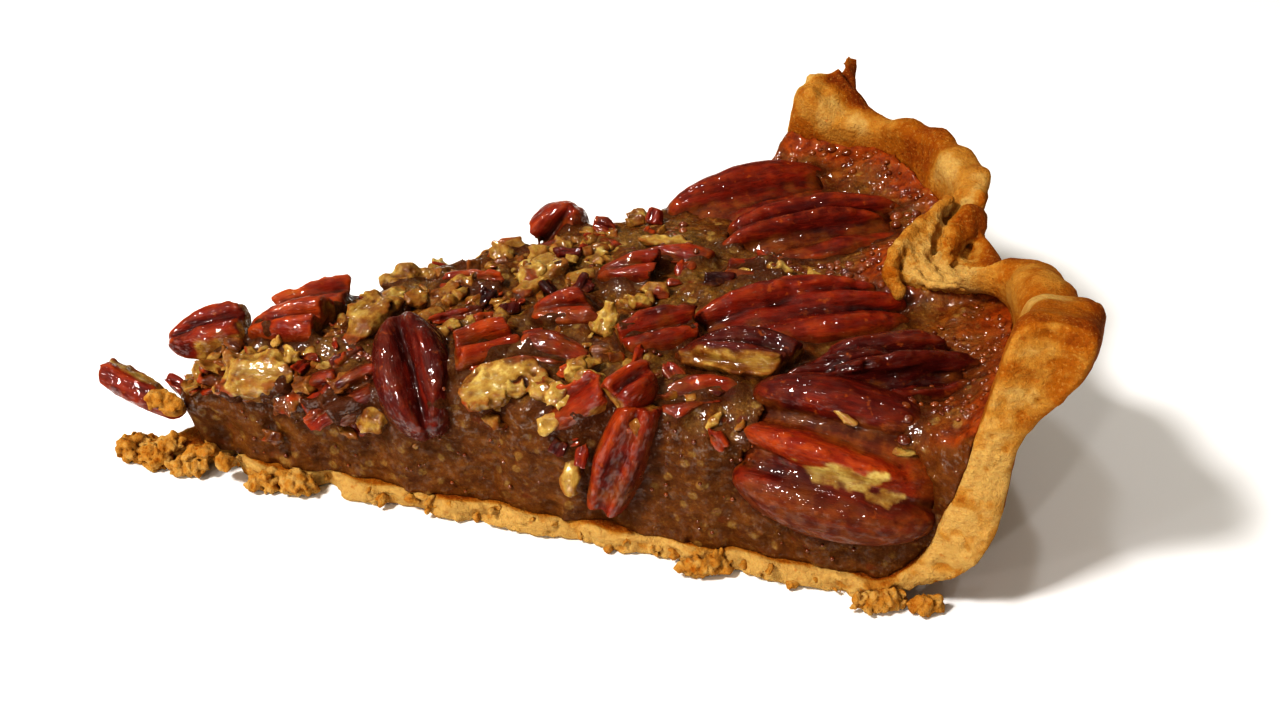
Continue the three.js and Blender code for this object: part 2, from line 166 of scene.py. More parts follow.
def surface(F, grid, adapt=0.0):
    """Vertices and faces of the field's surface, facing out."""
    lim = 4 * grid.h
    g = vdb.FloatGrid(background=float(lim))
    g.copyFromArray(np.ascontiguousarray(np.clip(F, -lim, lim).astype(f32)))
    pts, tris, quads = g.convertToPolygons(0.0, adapt)
    pts = pts.astype(np.float64) * grid.h + grid.low
    tris, quads = tris.astype(np.int64), quads.astype(np.int64)
    v = 0.0
    if len(quads):
        a, b, c, d = (pts[quads[:, k]] for k in range(4))
        v += np.einsum("ij,ij->i", a, np.cross(b, c)).sum()
        v += np.einsum("ij,ij->i", a, np.cross(c, d)).sum()
    if len(tris):
        a, b, c = (pts[tris[:, k]] for k in range(3))
        v += np.einsum("ij,ij->i", a, np.cross(b, c)).sum()
    if v < 0:
        quads, tris = quads[:, ::-1], tris[:, ::-1]
    return pts, tris, quads


def biggest(pts, tris, quads, smallest=40):
    """Drops loose bodies with fewer vertices than smallest."""
    n = len(pts)
    lab = np.arange(n)
    pairs = [quads[:, [0, 1]], quads[:, [1, 2]], quads[:, [2, 3]]]
    if len(tris):
        pairs += [tris[:, [0, 1]], tris[:, [1, 2]]]
    e = np.concatenate(pairs)
    while True:
        m = np.minimum(lab[e[:, 0]], lab[e[:, 1]])
        new = lab.copy()
        np.minimum.at(new, e[:, 0], m)
        np.minimum.at(new, e[:, 1], m)
        new = new[new]
        if (new == lab).all():
            break
        lab = new
    count = np.bincount(lab, minlength=n)
    keep = count[lab] >= smallest
    index = np.cumsum(keep) - 1
    return (
        pts[keep],
        index[tris[keep[tris[:, 0]]]] if len(tris) else tris,
        index[quads[keep[quads[:, 0]]]] if len(quads) else quads,
    )


class Soup:
    """Meshes gathered into one, with numbers for each vertex."""

    def __init__(self):
        self.pts, self.tris, self.quads, self.data, self.n = [], [], [], {}, 0

    def add(self, pts, tris, quads, **data):
        for k, v in data.items():
            v = np.asarray(v, f32)
            if v.ndim == 0:
                v = np.full(len(pts), v, f32)
            self.data.setdefault(k, []).append(v)
        self.pts.append(pts)
        if len(tris):
            self.tris.append(tris + self.n)
        if len(quads):
            self.quads.append(quads + self.n)
        self.n += len(pts)

    def object(self, name, material, slot, *nodes):
        pts = np.concatenate(self.pts)
        tris = np.concatenate(self.tris) if self.tris else np.zeros((0, 3), int)
        quads = np.concatenate(self.quads) if self.quads else np.zeros((0, 4), int)
        world = (pts + OFFSET) * 1e-3
        lo, hi = np.array(cad_box[0]), np.array(cad_box[1])
        world = np.clip(world, lo + 1e-5, hi - 1e-5)
        me = bpy.data.meshes.new(name)
        me.vertices.add(len(world))
        me.vertices.foreach_set("co", world.astype(f32).ravel())
        loops = np.concatenate([quads.ravel(), tris.ravel()]).astype(np.int32)
        starts = np.concatenate(
            [np.arange(len(quads)) * 4, 4 * len(quads) + np.arange(len(tris)) * 3]
        ).astype(np.int32)
        me.loops.add(len(loops))
        me.loops.foreach_set("vertex_index", loops)
        me.polygons.add(len(starts))
        me.polygons.foreach_set("loop_start", starts)
        me.polygons.foreach_set("use_smooth", np.ones(len(starts), bool))
        me.update(calc_edges=True)
        me.validate()
        for k, v in self.data.items():
            v = np.concatenate(v)
            if v.ndim == 1:
                a = me.attributes.new(k, "FLOAT", "POINT")
                a.data.foreach_set("value", v.astype(f32))
            else:
                a = me.attributes.new(k, "FLOAT_VECTOR", "POINT")
                a.data.foreach_set("vector", v.astype(f32).ravel())
        o = bpy.data.objects.new(name, me)
        bpy.context.scene.collection.objects.link(o)
        me.materials.append(material)
        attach(o, "root")
        if nodes:
            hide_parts(*nodes)
        return o


# ---------------------------------------------------------------- the crust's form
def inner_flute(t):
    valley = 104.8
    nearer = 118.8 + 0.36 * np.minimum(0, t + 8)
    farther = 116.8 - 9.5 * bump(t, 22.6, 5)
    return valley + (nearer - valley) * step(-t, 6.0, 0.35) + (farther - valley) * step(t, 2.5, 1.1)


def outer_flute(t):
    return 124.6 - 0.12 * t - 8.5 * bump(t, -2.5, 4.2) - 5.5 * bump(t, 17.5, 4) - 7 * bump(t, -29, 7)


def rim_top(t):
    return (
        34.2
        + 9 * smooth(-t, 10, 22)
        - 3.8 * bump(t, -4.2, 3.6)
        - 2.6 * bump(t, 17.5, 3)
        + 2.0 * bump(t, 25, 3.6)
        + 0.3 * np.sin(t * 1.9)
    )


LEAN = 0.25


def inner_wall(t, z):
    z0 = np.maximum(z, 0.5)
    rounded = 111.6 - (111.6 - 104.6) * np.exp(-(z0 - FLOOR) / 4.2)
    lean = t + LEAN * np.maximum(0, z0 - 27)
    return mix(rounded, inner_flute(lean), smooth(z0, 12, 27)) + 0.1 * np.maximum(0, z0 - 27)


def outer_wall(t, z):
    z0 = np.maximum(z, 0)
    rounded = 118 - 16 * np.exp(-z0 / 5.0) + 0.03 * z0
    fluted = mix(rounded, outer_flute(t + LEAN * (z0 - 36)), smooth(z0, 25, 38))
    deep = 108.0 + 14.0 * step(-t, 4.4, 0.95)  # the wall stays thick enough behind the deep flute
    behind = mix(rounded, deep - 0.36 * np.maximum(0, -t - 8), smooth(z0, 12, 25)) + 0.1 * np.maximum(0, z0 - 27)
    return smax(np.maximum(fluted, inner_wall(t, z0) + 2.6 * smooth(z0, 10, 18)), behind, 1.6)


def past_near(x, y):
    return -x * SIN - y * COS


def past_far(x, y):
    return -x * SIN + y * COS


def along_near(x, y):
    return x * COS - y * SIN


def along_far(x, y):
    return x * COS + y * SIN


def fill_top(x, y):
    r = np.hypot(x, y)
    t = np.degrees(np.arctan2(y, x))
    out = 13.2 + 11.1 * (1 - np.exp(-r / 27)) + 0.012 * np.maximum(0, r - 40)
    wall = inner_wall(np.clip(t, -30, 30), np.full_like(r, 27.0)) - r
    climb = 2.8 * np.exp(-np.maximum(0, wall) / 4.5)
    a = np.maximum(0, -past_near(x, y))
    b = np.maximum(0, -past_far(x, y))
    slump = (
        2.6 * np.exp(-((a / 4) ** 2))
        + 3.4 * np.exp(-((b / 4.5) ** 2))
        + 2.2 * bump(t, 24, 8) * smooth(r, 20, 60)
    )
    dent = 0.7 * smooth(r, 14, 30) + 1.1 * np.exp(-(((x - 91) / 14) ** 2) - ((y - 21) / 6) ** 2)
    return (
        out
        + climb
        - slump * (1 - 0.75 * np.exp(-np.maximum(0, wall) / 8))
        - dent * (1 - np.exp(-np.maximum(0, wall) / 5))
        + 0.35 * np.sin(x * 0.31 + y * 0.17) * np.sin(y * 0.29 - x * 0.11)
    )


def crust_edge_near(s):
    return (
        0.45 * np.sin(0.55 * s + 1)
        - 4.2 * bump(s, 12.5, 2.4)
        + 1.1 * bump(s, 20, 3.4)
        - 2 * bump(s, 28, 1.7)
    )


def crust_edge_far(s):
    return 0.45 * np.sin(0.62 * s + 2.2) - 2.4 * bump(s, 17, 3)


def fill_edge_near(s):
    return -0.6 + 0.5 * np.sin(0.33 * s + 0.6) + 0.3 * np.sin(0.8 * s)


def fill_edge_far(s):
    return -0.9 + 0.6 * np.sin(0.29 * s + 2) + 0.3 * np.sin(0.7 * s + 1) + 1.3 * bump(s, 67, 6)


# ---------------------------------------------------------------- pecans
# name, one end, other end, width, thickness, the way the rounded side faces, the part that is kept,
# tone of the skin (0 dark mahogany, 1 orange-red)
NUTS = [
    ("pecan_half_1", (78.0, 23.5, 21.6), (105.8, 29.4, 22.8), 16, 8.2, (0, -0.25, 1), (-1, 1, -1, 1), 0.50),
    ("pecan_half_2", (83.0, 11.6, 23.0), (112.0, 11.8, 24.6), 16.5, 8.6, (0, -0.25, 1), (-1, 1, -1, 1), 0.45),
    ("pecan_half_3", (76.6, -10.0, 23.4), (105.6, -11.5, 25.0), 14, 7.8, (0, -0.2, 1), (-1, 1, -1, 1), 0.50),
    ("pecan_half_4", (83.6, -27.5, 23.8), (110.8, -27.6, 25.3), 15, 7.8, (-0.1, -0.25, 1), (-1, 1, -1, 1), 0.22),
    ("pecan_half_5", (78.6, -30.0, 20.3), (104.4, -41.0, 18.6), 19.5, 8.8, (-0.31, -0.74, 0.62), (-1, 1, -1, 1), 0.62),
    ("piece_01", (-4.2, 0.6, 14.2), (7.0, -4.3, 10.9), 4, 3.6, (-0.3, -0.75, 0.6), (-0.8, 0.4, -1, 0.25), 0.46),
    ("piece_02", (5.9, 1.5, 18.0), (16.4, 2.5, 19.4), 7, 5, (0, -0.3, 1), (-1, 0, -1, 0.5), 0.52),
    ("piece_03", (16.8, 1.2, 20.0), (27.3, -0.1, 21.0), 8.5, 6.5, (0, -0.2, 1), (-1, 0.1, -1, 1), 0.66),
    ("piece_04", (14.6, -5.4, 17.6), (22.8, -7.6, 17.4), 7.0, 5, (0, 0.5, -1), (-0.5, 0.5, -1, 0.6), 0.5),
    ("piece_05", (21.4, 5.1, 19.8), (30.6, 6.2, 20.3), 6.5, 5, (0, -0.2, 1), (-0.7, 0.3, -1, 0.4), 0.7),
    ("piece_06", (29.4, -6.2, 20.3), (37.2, 2.2, 22.0), 5, 4.2, (0.2, 0.6, -1), (-0.6, 0.6, -0.2, 1), 0.5),
    ("piece_07", (38.0, -5.7, 25.4), (41.4, -20.4, 15.9), 12.0, 6.7, (-0.1, -0.6, 0.8), (-1, 1, -1, 1), 0.34),
    ("piece_08", (24.4, -10.2, 15.4), (30.5, -11.4, 17.8), 6, 5, (0, -0.6, 0.8), (-0.4, 0.5, -1, 1), 0.6),
    ("piece_09", (29.1, -13.0, 16.5), (36.6, -11.9, 19.5), 6.5, 5, (0, -0.6, 0.8), (-0.4, 0.5, -1, 1), 0.40),
    ("piece_10", (44.9, -12.4, 22.2), (53.4, -11.1, 23.2), 8, 6, (0, -0.4, 1), (-0.4, 0.4, -1, 1), 0.60),
    ("piece_11", (53.4, -12.5, 23.5), (62.8, -15.5, 23.5), 6, 4.5, (0, -0.5, 1), (-0.5, 0.9, -0.2, 1), 0.7),
    ("piece_12", (46.4, -18.2, 20.5), (56.0, -17.4, 22.2), 5.6, 4.4, (0, 0.4, -1), (-0.5, 0.6, -1, 0.2), 0.5),
    ("piece_13", (54.9, -5.1, 23.0), (63.4, -5.4, 23.4), 8.2, 6, (0.2, -0.5, 1), (-1, -0.1, -1, 1), 0.6),
    ("piece_14", (52.9, 2.4, 22.3), (60.0, 7.0, 23.2), 4.2, 3.8, (0, -0.2, -1), (-0.5, 0.5, -0.4, 0.6), 0.6),
    ("piece_15", (64.9, 4.2, 23.4), (73.0, 3.5, 23.9), 7, 5.6, (0, -0.3, 1), (-1, 0, -1, 1), 0.4),
    ("piece_16", (70.0, 10.2, 23.0), (82.5, 6.4, 24.0), 4.6, 4.2, (0, -0.3, 1), (-0.9, 0.7, -0.1, 1), 0.6),
    ("piece_17", (59.4, 23.3, 18.5), (63.7, 24.9, 24.0), 10.5, 6.5, (-0.2, -0.7, 0.6), (-0.1, 1, -1, 1), 0.55),
    ("piece_18", (44.4, 11.3, 19.6), (55.6, 16.6, 20.4), 6.4, 4.8, (0, 0.3, -1), (-0.7, 0.5, -1, 0.5), 0.6),
    ("piece_19", (56.7, -22.6, 17.0), (64.0, -24.6, 23.9), 6.5, 5, (-0.27, -0.64, 0.7), (-0.6, 0.4, -1, 0.3), 0.6),
    ("piece_20", (64.6, -27.8, 24.0), (69.4, -24.6, 25.2), 5, 4.2, (-0.2, -0.5, 0.8), (-0.4, 0.6, -1, 0.6), 0.50),
    ("piece_21", (67.7, -28.2, 23.0), (63.2, -26.8, 7.2), 7.6, 5.8, (-0.31, -0.74, 0.4), (-0.7, 0.6, -1, 1), 0.60),
    ("piece_22", (67.0, -13.9, 23.2), (77.0, -12.4, 24.2), 7.4, 5.2, (0, -0.3, 1), (-0.5, 0.5, -1, 0.7), 0.52),
    ("piece_23", (74.0, -16.2, 24.9), (88.4, -21.6, 25.0), 8.6, 6.2, (0, -0.35, 0.9), (-1, 0.6, -0.35, 1), 0.2),
    ("piece_24", (71.4, -24.7, 22.3), (80.8, -25.8, 23.3), 6, 4.4, (0, -0.4, 1), (-0.6, 0.7, -0.3, 1), 0.5),
    ("piece_25", (83.2, 1.3, 23.4), (91.4, -0.1, 23.9), 6.2, 4.6, (0, -0.2, 1), (-0.6, 0.3, -1, 0.6), 0.6),
    ("piece_26", (43.4, 6.9, 20.6), (51.6, 5.4, 21.6), 5.4, 4.6, (0, -0.3, 1), (-0.6, 0.4, -1, 0.7), 0.6),
    ("piece_27", (35.6, 11.2, 19.6), (44.4, 10.8, 20.4), 5.4, 4.6, (0, 0.3, -1), (-0.5, 0.5, -1, 0.6), 0.6),
]


class Nut:
    """A half kernel, whole or broken: its field, and its place in the slice."""

    def __init__(self, a, b, width, thick, face, keep, turn, seed, flesh=False):
        a, b, face = (np.array(v, float) for v in (a, b, face))
        u0, u1, v0, v1 = keep
        self.seed, self.keep, self.turn, self.flesh = seed, keep, turn, flesh
        length = np.linalg.norm(b - a)
        self.L, self.W, self.T = length * 2 / (u1 - u0), width * 2 / (v1 - v0), thick
        self.middle = np.array([(u0 + u1) / 4 * self.L, (v0 + v1) / 4 * self.W, thick / 2])
        x = (b - a) / length
        z = face - x * (x @ face)
        z /= np.linalg.norm(z)
        self.R = np.stack([x, np.cross(z, x), z], 1)  # columns are the kernel's own axes
        self.at = (a + b) / 2
        self.broken = u0 > -1 or u1 < 1 or v0 > -1 or v1 < 1
        far = 0.6
        self.lo = np.array([u0 * self.L / 2 if u0 > -1 else -self.L * far, v0 * self.W / 2 if v0 > -1 else -self.W * far])
        self.hi = np.array([u1 * self.L / 2 if u1 < 1 else self.L * far, v1 * self.W / 2 if v1 < 1 else self.W * far])
        rng = np.random.default_rng(1000 + seed)
        self.r = rng.uniform(-1, 1, 12)
        self.wrinkle = 1.0
        self.wet = 0.5
        self.body = 0.72 if self.W >= 12.5 else 0.58
        self.shift = 0.05 * self.r[4:9]
        j = 0.05 * self.r
        if self.W >= 12.5:
            self.lobes = [
                (-0.93, 0.93, 0.20 + j[0], 0.22, 0.32, 0.38, 0.62, 0.22),
                (-0.99, 0.98, j[1], j[2], j[3], 0.27, 0.70, 0.30),
                (-0.93, 0.93, -0.22, -0.20 + j[4], -0.32, 0.38, 0.62, 0.22),
            ]
        else:
            self.lobes = [
                (-0.985, 0.985, 0.12 + j[0], 0.12 + j[1], 0.31, 0.47, 0.72, 0.24),
                (-0.985, 0.985, -0.12 + j[2], -0.12 + j[3], -0.31, 0.47, 0.72, 0.24),
            ]

    def local(self, x, y, z):
        p = np.stack([x - self.at[0], y - self.at[1], z - self.at[2]], -1) @ self.R
        return p + self.middle

    def world(self, p):
        return (p - self.middle) @ self.R.T + self.at

    def skin(self, p, fine=True):
        """The kernel's field before it was broken: plump lobes side by side on a flatter body."""
        x, y, z = (p[..., k].astype(f32) for k in range(3))
        s, A, T = 40 + self.seed * 3, self.W / 2, self.T
        u = 2 * x / self.L
        au = np.clip(np.abs(u), 0, 0.9995)
        w = A * (1 - au**2.4) ** 0.55 * (1 - 0.07 * u)
        h = T * (1 - au**2.6) ** 0.5
        F = (np.sqrt((y / (0.95 * w)) ** 2 + (z / (self.body * h)) ** 2) - 1) * np.minimum(w, self.body * h)
        if fine:
            F = F + 0.10 * noise(x, y, z, (6.0, 1.2, 1.2), s + 4)
        for i, (x0, x1, y0, y1, bow, a, b, zc) in enumerate(self.lobes):
            q = (u - x0) / (x1 - x0)
            qc = np.clip(q, 0.0008, 0.9992)
            prof = (4 * qc * (1 - qc)) ** 0.42
            yc = (mix(y0, y1, qc) + bow * 4 * qc * (1 - qc)) * A
            ra, rb = a * A * prof, b * T * prof ** 0.8
            dy, dz = y - yc, z - zc * T
            rho = np.sqrt((dy / ra) ** 2 + (dz / rb) ** 2)
            D = (rho - 1) * np.minimum(ra, rb)
            D = np.maximum(D, np.maximum(-q, q - 1) * (x1 - x0) * self.L / 2)
            if fine:
                wr = self.wrinkle
                D = D + wr * 0.09 * noise(x, dy, dz, (8.0, 1.5, 1.5), s + i)
                D = D + wr * 0.06 * noise(x, dy, dz, (5.0, 0.75, 0.75), s + i + 1)
            F = smin(F, D, 0.55)
        F = smax(F, -z + 0.10 * T * np.exp(-((y / (0.25 * A)) ** 2)), 0.9)
        F = np.maximum(F, np.abs(x) - self.L / 2 * 0.999)
        if fine:
            F = F + 0.05 * noise(x, y, z, 1.3, s + 2) + 0.16 * noise(x, y, z, 4.5, s + 3)
        return F

    def hull(self, p):
        """The kernel's outline without its grooves."""
        x, y, z = (p[..., k].astype(f32) for k in range(3))
        au = np.clip(np.abs(2 * x / self.L), 0, 0.9995)
        w = self.W / 2 * (1 - au**2.4) ** 0.55
        h = self.T * (1 - au**2.6) ** 0.5
        F = (np.sqrt((y / w) ** 2 + ((z - 0.1 * h) / (0.85 * h)) ** 2) - 1) * np.minimum(w, h)
        return np.maximum(F, -z)

    def lobe_tone(self, p):
        """Which lobe a spot belongs to, as a shift of its tone."""
        x, y = p[..., 0], p[..., 1]
        A, best, out = self.W / 2, np.full(len(p), 1e3), np.zeros(len(p))
        for i, (x0, x1, y0, y1, bow, a, b, zc) in enumerate(self.lobes):
            q = np.clip((2 * x / self.L - x0) / (x1 - x0), 0, 1)
            d = np.abs(y - (mix(y0, y1, q) + bow * 4 * q * (1 - q)) * A) / (a * A)
            near_it = d < best
            best = np.where(near_it, d, best)
            out = np.where(near_it, self.shift[i % len(self.shift)], out)
        return out

    def cut(self, p):
        """The field of the part that is kept, with rough broken faces."""
        s = 60 + self.seed * 2
        c = np.array([*((self.lo + self.hi) / 2), self.T / 2])
        q = p - c
        b = 0.2 * math.sin(self.turn * 1.7 + 1)
        x = q[..., 0] * math.cos(b) - q[..., 2] * math.sin(b)
        z = q[..., 0] * math.sin(b) + q[..., 2] * math.cos(b)
        y = q[..., 1]
        a = 0.12 * math.sin(self.turn * 2.3)
        x, y = x * math.cos(a) + y * math.sin(a), -x * math.sin(a) + y * math.cos(a)
        P = (p[..., 0], p[..., 1], p[..., 2])
        big = 1.15 if self.flesh else 0.60
        rough = big * noise(*P, 3.4, s) + 0.26 * (np.abs(noise(*P, 1.6, s + 1)) - 0.3) + 0.10 * noise(*P, 0.8, s + 3)
        if self.flesh:
            rough = rough + 0.30 * (np.abs(noise(*P, 1.25, s + 5)) - 0.3) + 0.12 * noise(*P, 0.62, s + 6)
        hx, hy = (self.hi - self.lo) / 2
        r = self.r
        F = smax(
            smax(x - hx + 0.30 * r[0] * y + 0.30 * r[1] * z, -x - hx + 0.30 * r[2] * y + 0.30 * r[3] * z, 1.0),
            smax(y - hy + 0.22 * r[4] * x + 0.25 * r[5] * z, -y - hy + 0.22 * r[6] * x + 0.25 * r[7] * z, 1.0),
            2.4 if self.flesh else 1.0,
        ) + rough
        if self.flesh:
            F = smax(F, (0.22 * self.T - p[..., 2]) + 1.3 * rough, 0.8)
        return F

    def field(self, p, fine=True):
        F = self.skin(p, fine)
        if self.broken or self.flesh:
            F = smax(F, self.cut(p), 0.35)
        return F

    def box(self, margin):
        c = np.array([[x, y, z] for x in (max(-self.L / 2, self.lo[0]), min(self.L / 2, self.hi[0]))
                      for y in (max(-self.W / 2, self.lo[1]), min(self.W / 2, self.hi[1]))
                      for z in (0, self.T)])
        w = self.world(c)
        return w.min(0) - margin, w.max(0) + margin

    def mesh(self, h):
        low = np.array([max(-self.L / 2, self.lo[0]), max(-self.W / 2, self.lo[1]), 0]) - 1.4
        high = np.array([min(self.L / 2, self.hi[0]), min(self.W / 2, self.hi[1]), self.T]) + 1.4
        g = Grid(low, high, h)
        P = np.stack(g.points(), -1)
        F = even(self.skin(P), h)
        if self.broken or self.flesh:
            F = smax(F, even(self.cut(P), h), 0.35)
        pts, tris, quads = surface(F, g, 0.01)
        pts, tris, quads = biggest(pts, tris, quads, 150)
        inside = -self.skin(pts, False)
        rough = noise(pts[:, 0], pts[:, 1], pts[:, 2], 1.0, 7)
        flesh = smooth(inside + 0.16 * rough, 0.30, 0.75) if (self.broken or self.flesh) else np.zeros(len(pts))
        return self.world(pts), tris, quads, pts, flesh


# the lobes of the five whole halves: start and end along, start and end across, bow, half width, height, level
HALF_LOBES = {
    "pecan_half_1": [
        (-1.0, 0.92, 0.20, 0.30, 0.16, 0.52, 0.68, 0.26),
        (-0.58, 1.0, -0.52, -0.30, -0.10, 0.42, 0.64, 0.20),
    ],
    "pecan_half_2": [
        (-0.85, 0.98, 0.42, 0.42, 0.16, 0.30, 0.60, 0.28),
        (-1.0, 0.75, -0.14, 0.12, 0.10, 0.29, 0.66, 0.30),
        (-0.64, 1.0, -0.64, -0.30, -0.12, 0.40, 0.64, 0.18),
    ],
    "pecan_half_3": [
        (-1.0, 0.80, 0.10, 0.45, 0.18, 0.36, 0.68, 0.30),
        (-0.25, 1.0, 0.05, 0.05, 0.05, 0.25, 0.62, 0.26),
        (-0.74, 1.0, -0.54, -0.34, -0.10, 0.44, 0.66, 0.18),
    ],
    "pecan_half_4": [
        (-0.55, 0.75, 0.50, 0.60, 0.08, 0.27, 0.58, 0.28),
        (-1.0, 0.35, 0.02, 0.26, 0.10, 0.21, 0.62, 0.32),
        (-0.86, 1.0, -0.28, 0.00, 0.12, 0.24, 0.68, 0.32),
        (-0.72, 1.0, -0.62, -0.38, -0.08, 0.25, 0.62, 0.26),
        (-0.20, 0.85, -0.86, -0.76, -0.05, 0.18, 0.40, 0.20),
    ],
    "pecan_half_5": [
        (-0.90, 0.85, 0.52, 0.45, 0.14, 0.36, 0.66, 0.22),
        (-0.95, 0.62, 0.03, -0.14, 0.02, 0.26, 0.70, 0.30),
        (-0.92, 0.90, -0.52, -0.56, -0.14, 0.42, 0.60, 0.16),
    ],
}
WET = {"pecan_half_1": 0.05, "pecan_half_2": 0.12, "pecan_half_3": 0.25, "pecan_half_4": 1.0, "pecan_half_5": 0.12,
       "piece_07": 0.9, "piece_23": 0.9, "piece_21": 0.35, "piece_19": 0.6, "piece_11": 0.9}
SHIFT = {"pecan_half_5": [-0.30, 0.12, -0.22], "pecan_half_4": [0.10, -0.02, 0.0, 0.04, -0.05]}
BODY = {"piece_21": 0.80, "piece_19": 0.75, "piece_01": 0.85, "piece_02": 0.70}
RIM = {"piece_19": 1.5, "piece_23": 1.8, "piece_10": 0.9, "piece_02": 1.6}  # flesh that shows along the near side, in mm
PALE = {"piece_04": 0.75, "piece_06": 0.62, "piece_12": 0.85, "piece_14": 0.8, "piece_18": 0.8, "piece_27": 0.7, "piece_23": 0.62, "pecan_half_5": 1.0, "piece_19": 0.8}
WRINKLES = {"piece_21": 0.6, "piece_07": 1.1, "piece_23": 1.8, "pecan_half_4": 2.2, "pecan_half_1": 0.5, "pecan_half_2": 0.7, "pecan_half_5": 0.8}


def nut_list():
    out = []
    for i, (name, a, b, w, t, face, keep, tone) in enumerate(NUTS):
        nut = Nut(a, b, w, t, face, keep, i, i, face[2] < 0)
        nut.lobes = HALF_LOBES.get(name, nut.lobes)
        nut.wrinkle = WRINKLES.get(name, 1.0)
        nut.wet = WET.get(name, 0.5)
        nut.body = BODY.get(name, nut.body)
        nut.shift = SHIFT.get(name, nut.shift)
        out.append((name, nut, tone))
    return out


nuts = nut_list()


# ---------------------------------------------------------------- materials
def links(mat):
    return mat.node_tree.nodes, mat.node_tree.links


def new_material(name):
    m = bpy.data.materials.new(name)
    m.use_nodes = True
    return m, m.node_tree.nodes["Principled BSDF"]


class Nodes:
    """Short ways to make shader nodes."""

    def __init__(self, mat):
        self.t = mat.node_tree
        self.coord = self.t.nodes.new("ShaderNodeTexCoord").outputs["Object"]

    def link(self, a, b):
        self.t.links.new(a, b)

    def attr(self, name, vector=False):
        n = self.t.nodes.new("ShaderNodeAttribute")
        n.attribute_name = name
        return n.outputs["Vector" if vector else "Fac"]

    def scaled(self, source, scale):
        n = self.t.nodes.new("ShaderNodeMapping")
        n.inputs["Scale"].default_value = scale
        self.link(source, n.inputs["Vector"])
        return n.outputs["Vector"]

    def noise(self, source, scale, detail=3.0, rough=0.55, distortion=0.0):
        n = self.t.nodes.new("ShaderNodeTexNoise")
        n.inputs["Scale"].default_value = scale
        n.inputs["Detail"].default_value = detail
        n.inputs["Roughness"].default_value = rough
        n.inputs["Distortion"].default_value = distortion
        self.link(source, n.inputs["Vector"])
        return n.outputs["Fac"]

    def voronoi(self, source, scale, feature="F1", out="Distance", randomness=1.0):
        n = self.t.nodes.new("ShaderNodeTexVoronoi")
        n.feature = feature
        n.inputs["Scale"].default_value = scale
        n.inputs["Randomness"].default_value = randomness
        self.link(source, n.inputs["Vector"])
        return n.outputs[out]

    def ramp(self, source, *stops, smooth=True):
        n = self.t.nodes.new("ShaderNodeValToRGB")
        n.color_ramp.interpolation = "EASE" if smooth else "LINEAR"
        e = n.color_ramp.elements
        while len(e) < len(stops):
            e.new(0.5)
        for k, (p, c) in enumerate(stops):
            e[k].position = p
            if np.isscalar(c):
                c = (c, c, c)
            e[k].color = (*c, 1)
        self.link(source, n.inputs["Fac"])
        return n.outputs["Color"]

    def mix(self, fac, a, b, mode="MIX"):
        n = self.t.nodes.new("ShaderNodeMix")
        n.data_type = "RGBA"
        n.blend_type = mode
        for sock, v in ((n.inputs[0], fac), (n.inputs[6], a), (n.inputs[7], b)):
            if isinstance(v, (int, float)):
                sock.default_value = v
            elif isinstance(v, tuple):
                sock.default_value = (*v, 1)
            else:
                self.link(v, sock)
        return n.outputs[2]

    def math(self, op, a, b=0.0, clamp=False):
        n = self.t.nodes.new("ShaderNodeMath")
        n.operation = op
        n.use_clamp = clamp
        for sock, v in ((n.inputs[0], a), (n.inputs[1], b)):
            if isinstance(v, (int, float)):
                sock.default_value = v
            else:
                self.link(v, sock)
        return n.outputs[0]

    def bump(self, height, distance, strength=1.0, normal=None):
        n = self.t.nodes.new("ShaderNodeBump")
        n.inputs["Strength"].default_value = strength
        n.inputs["Distance"].default_value = distance
        self.link(height, n.inputs["Height"])
        if normal is not None:
            self.link(normal, n.inputs["Normal"])
        return n.outputs["Normal"]


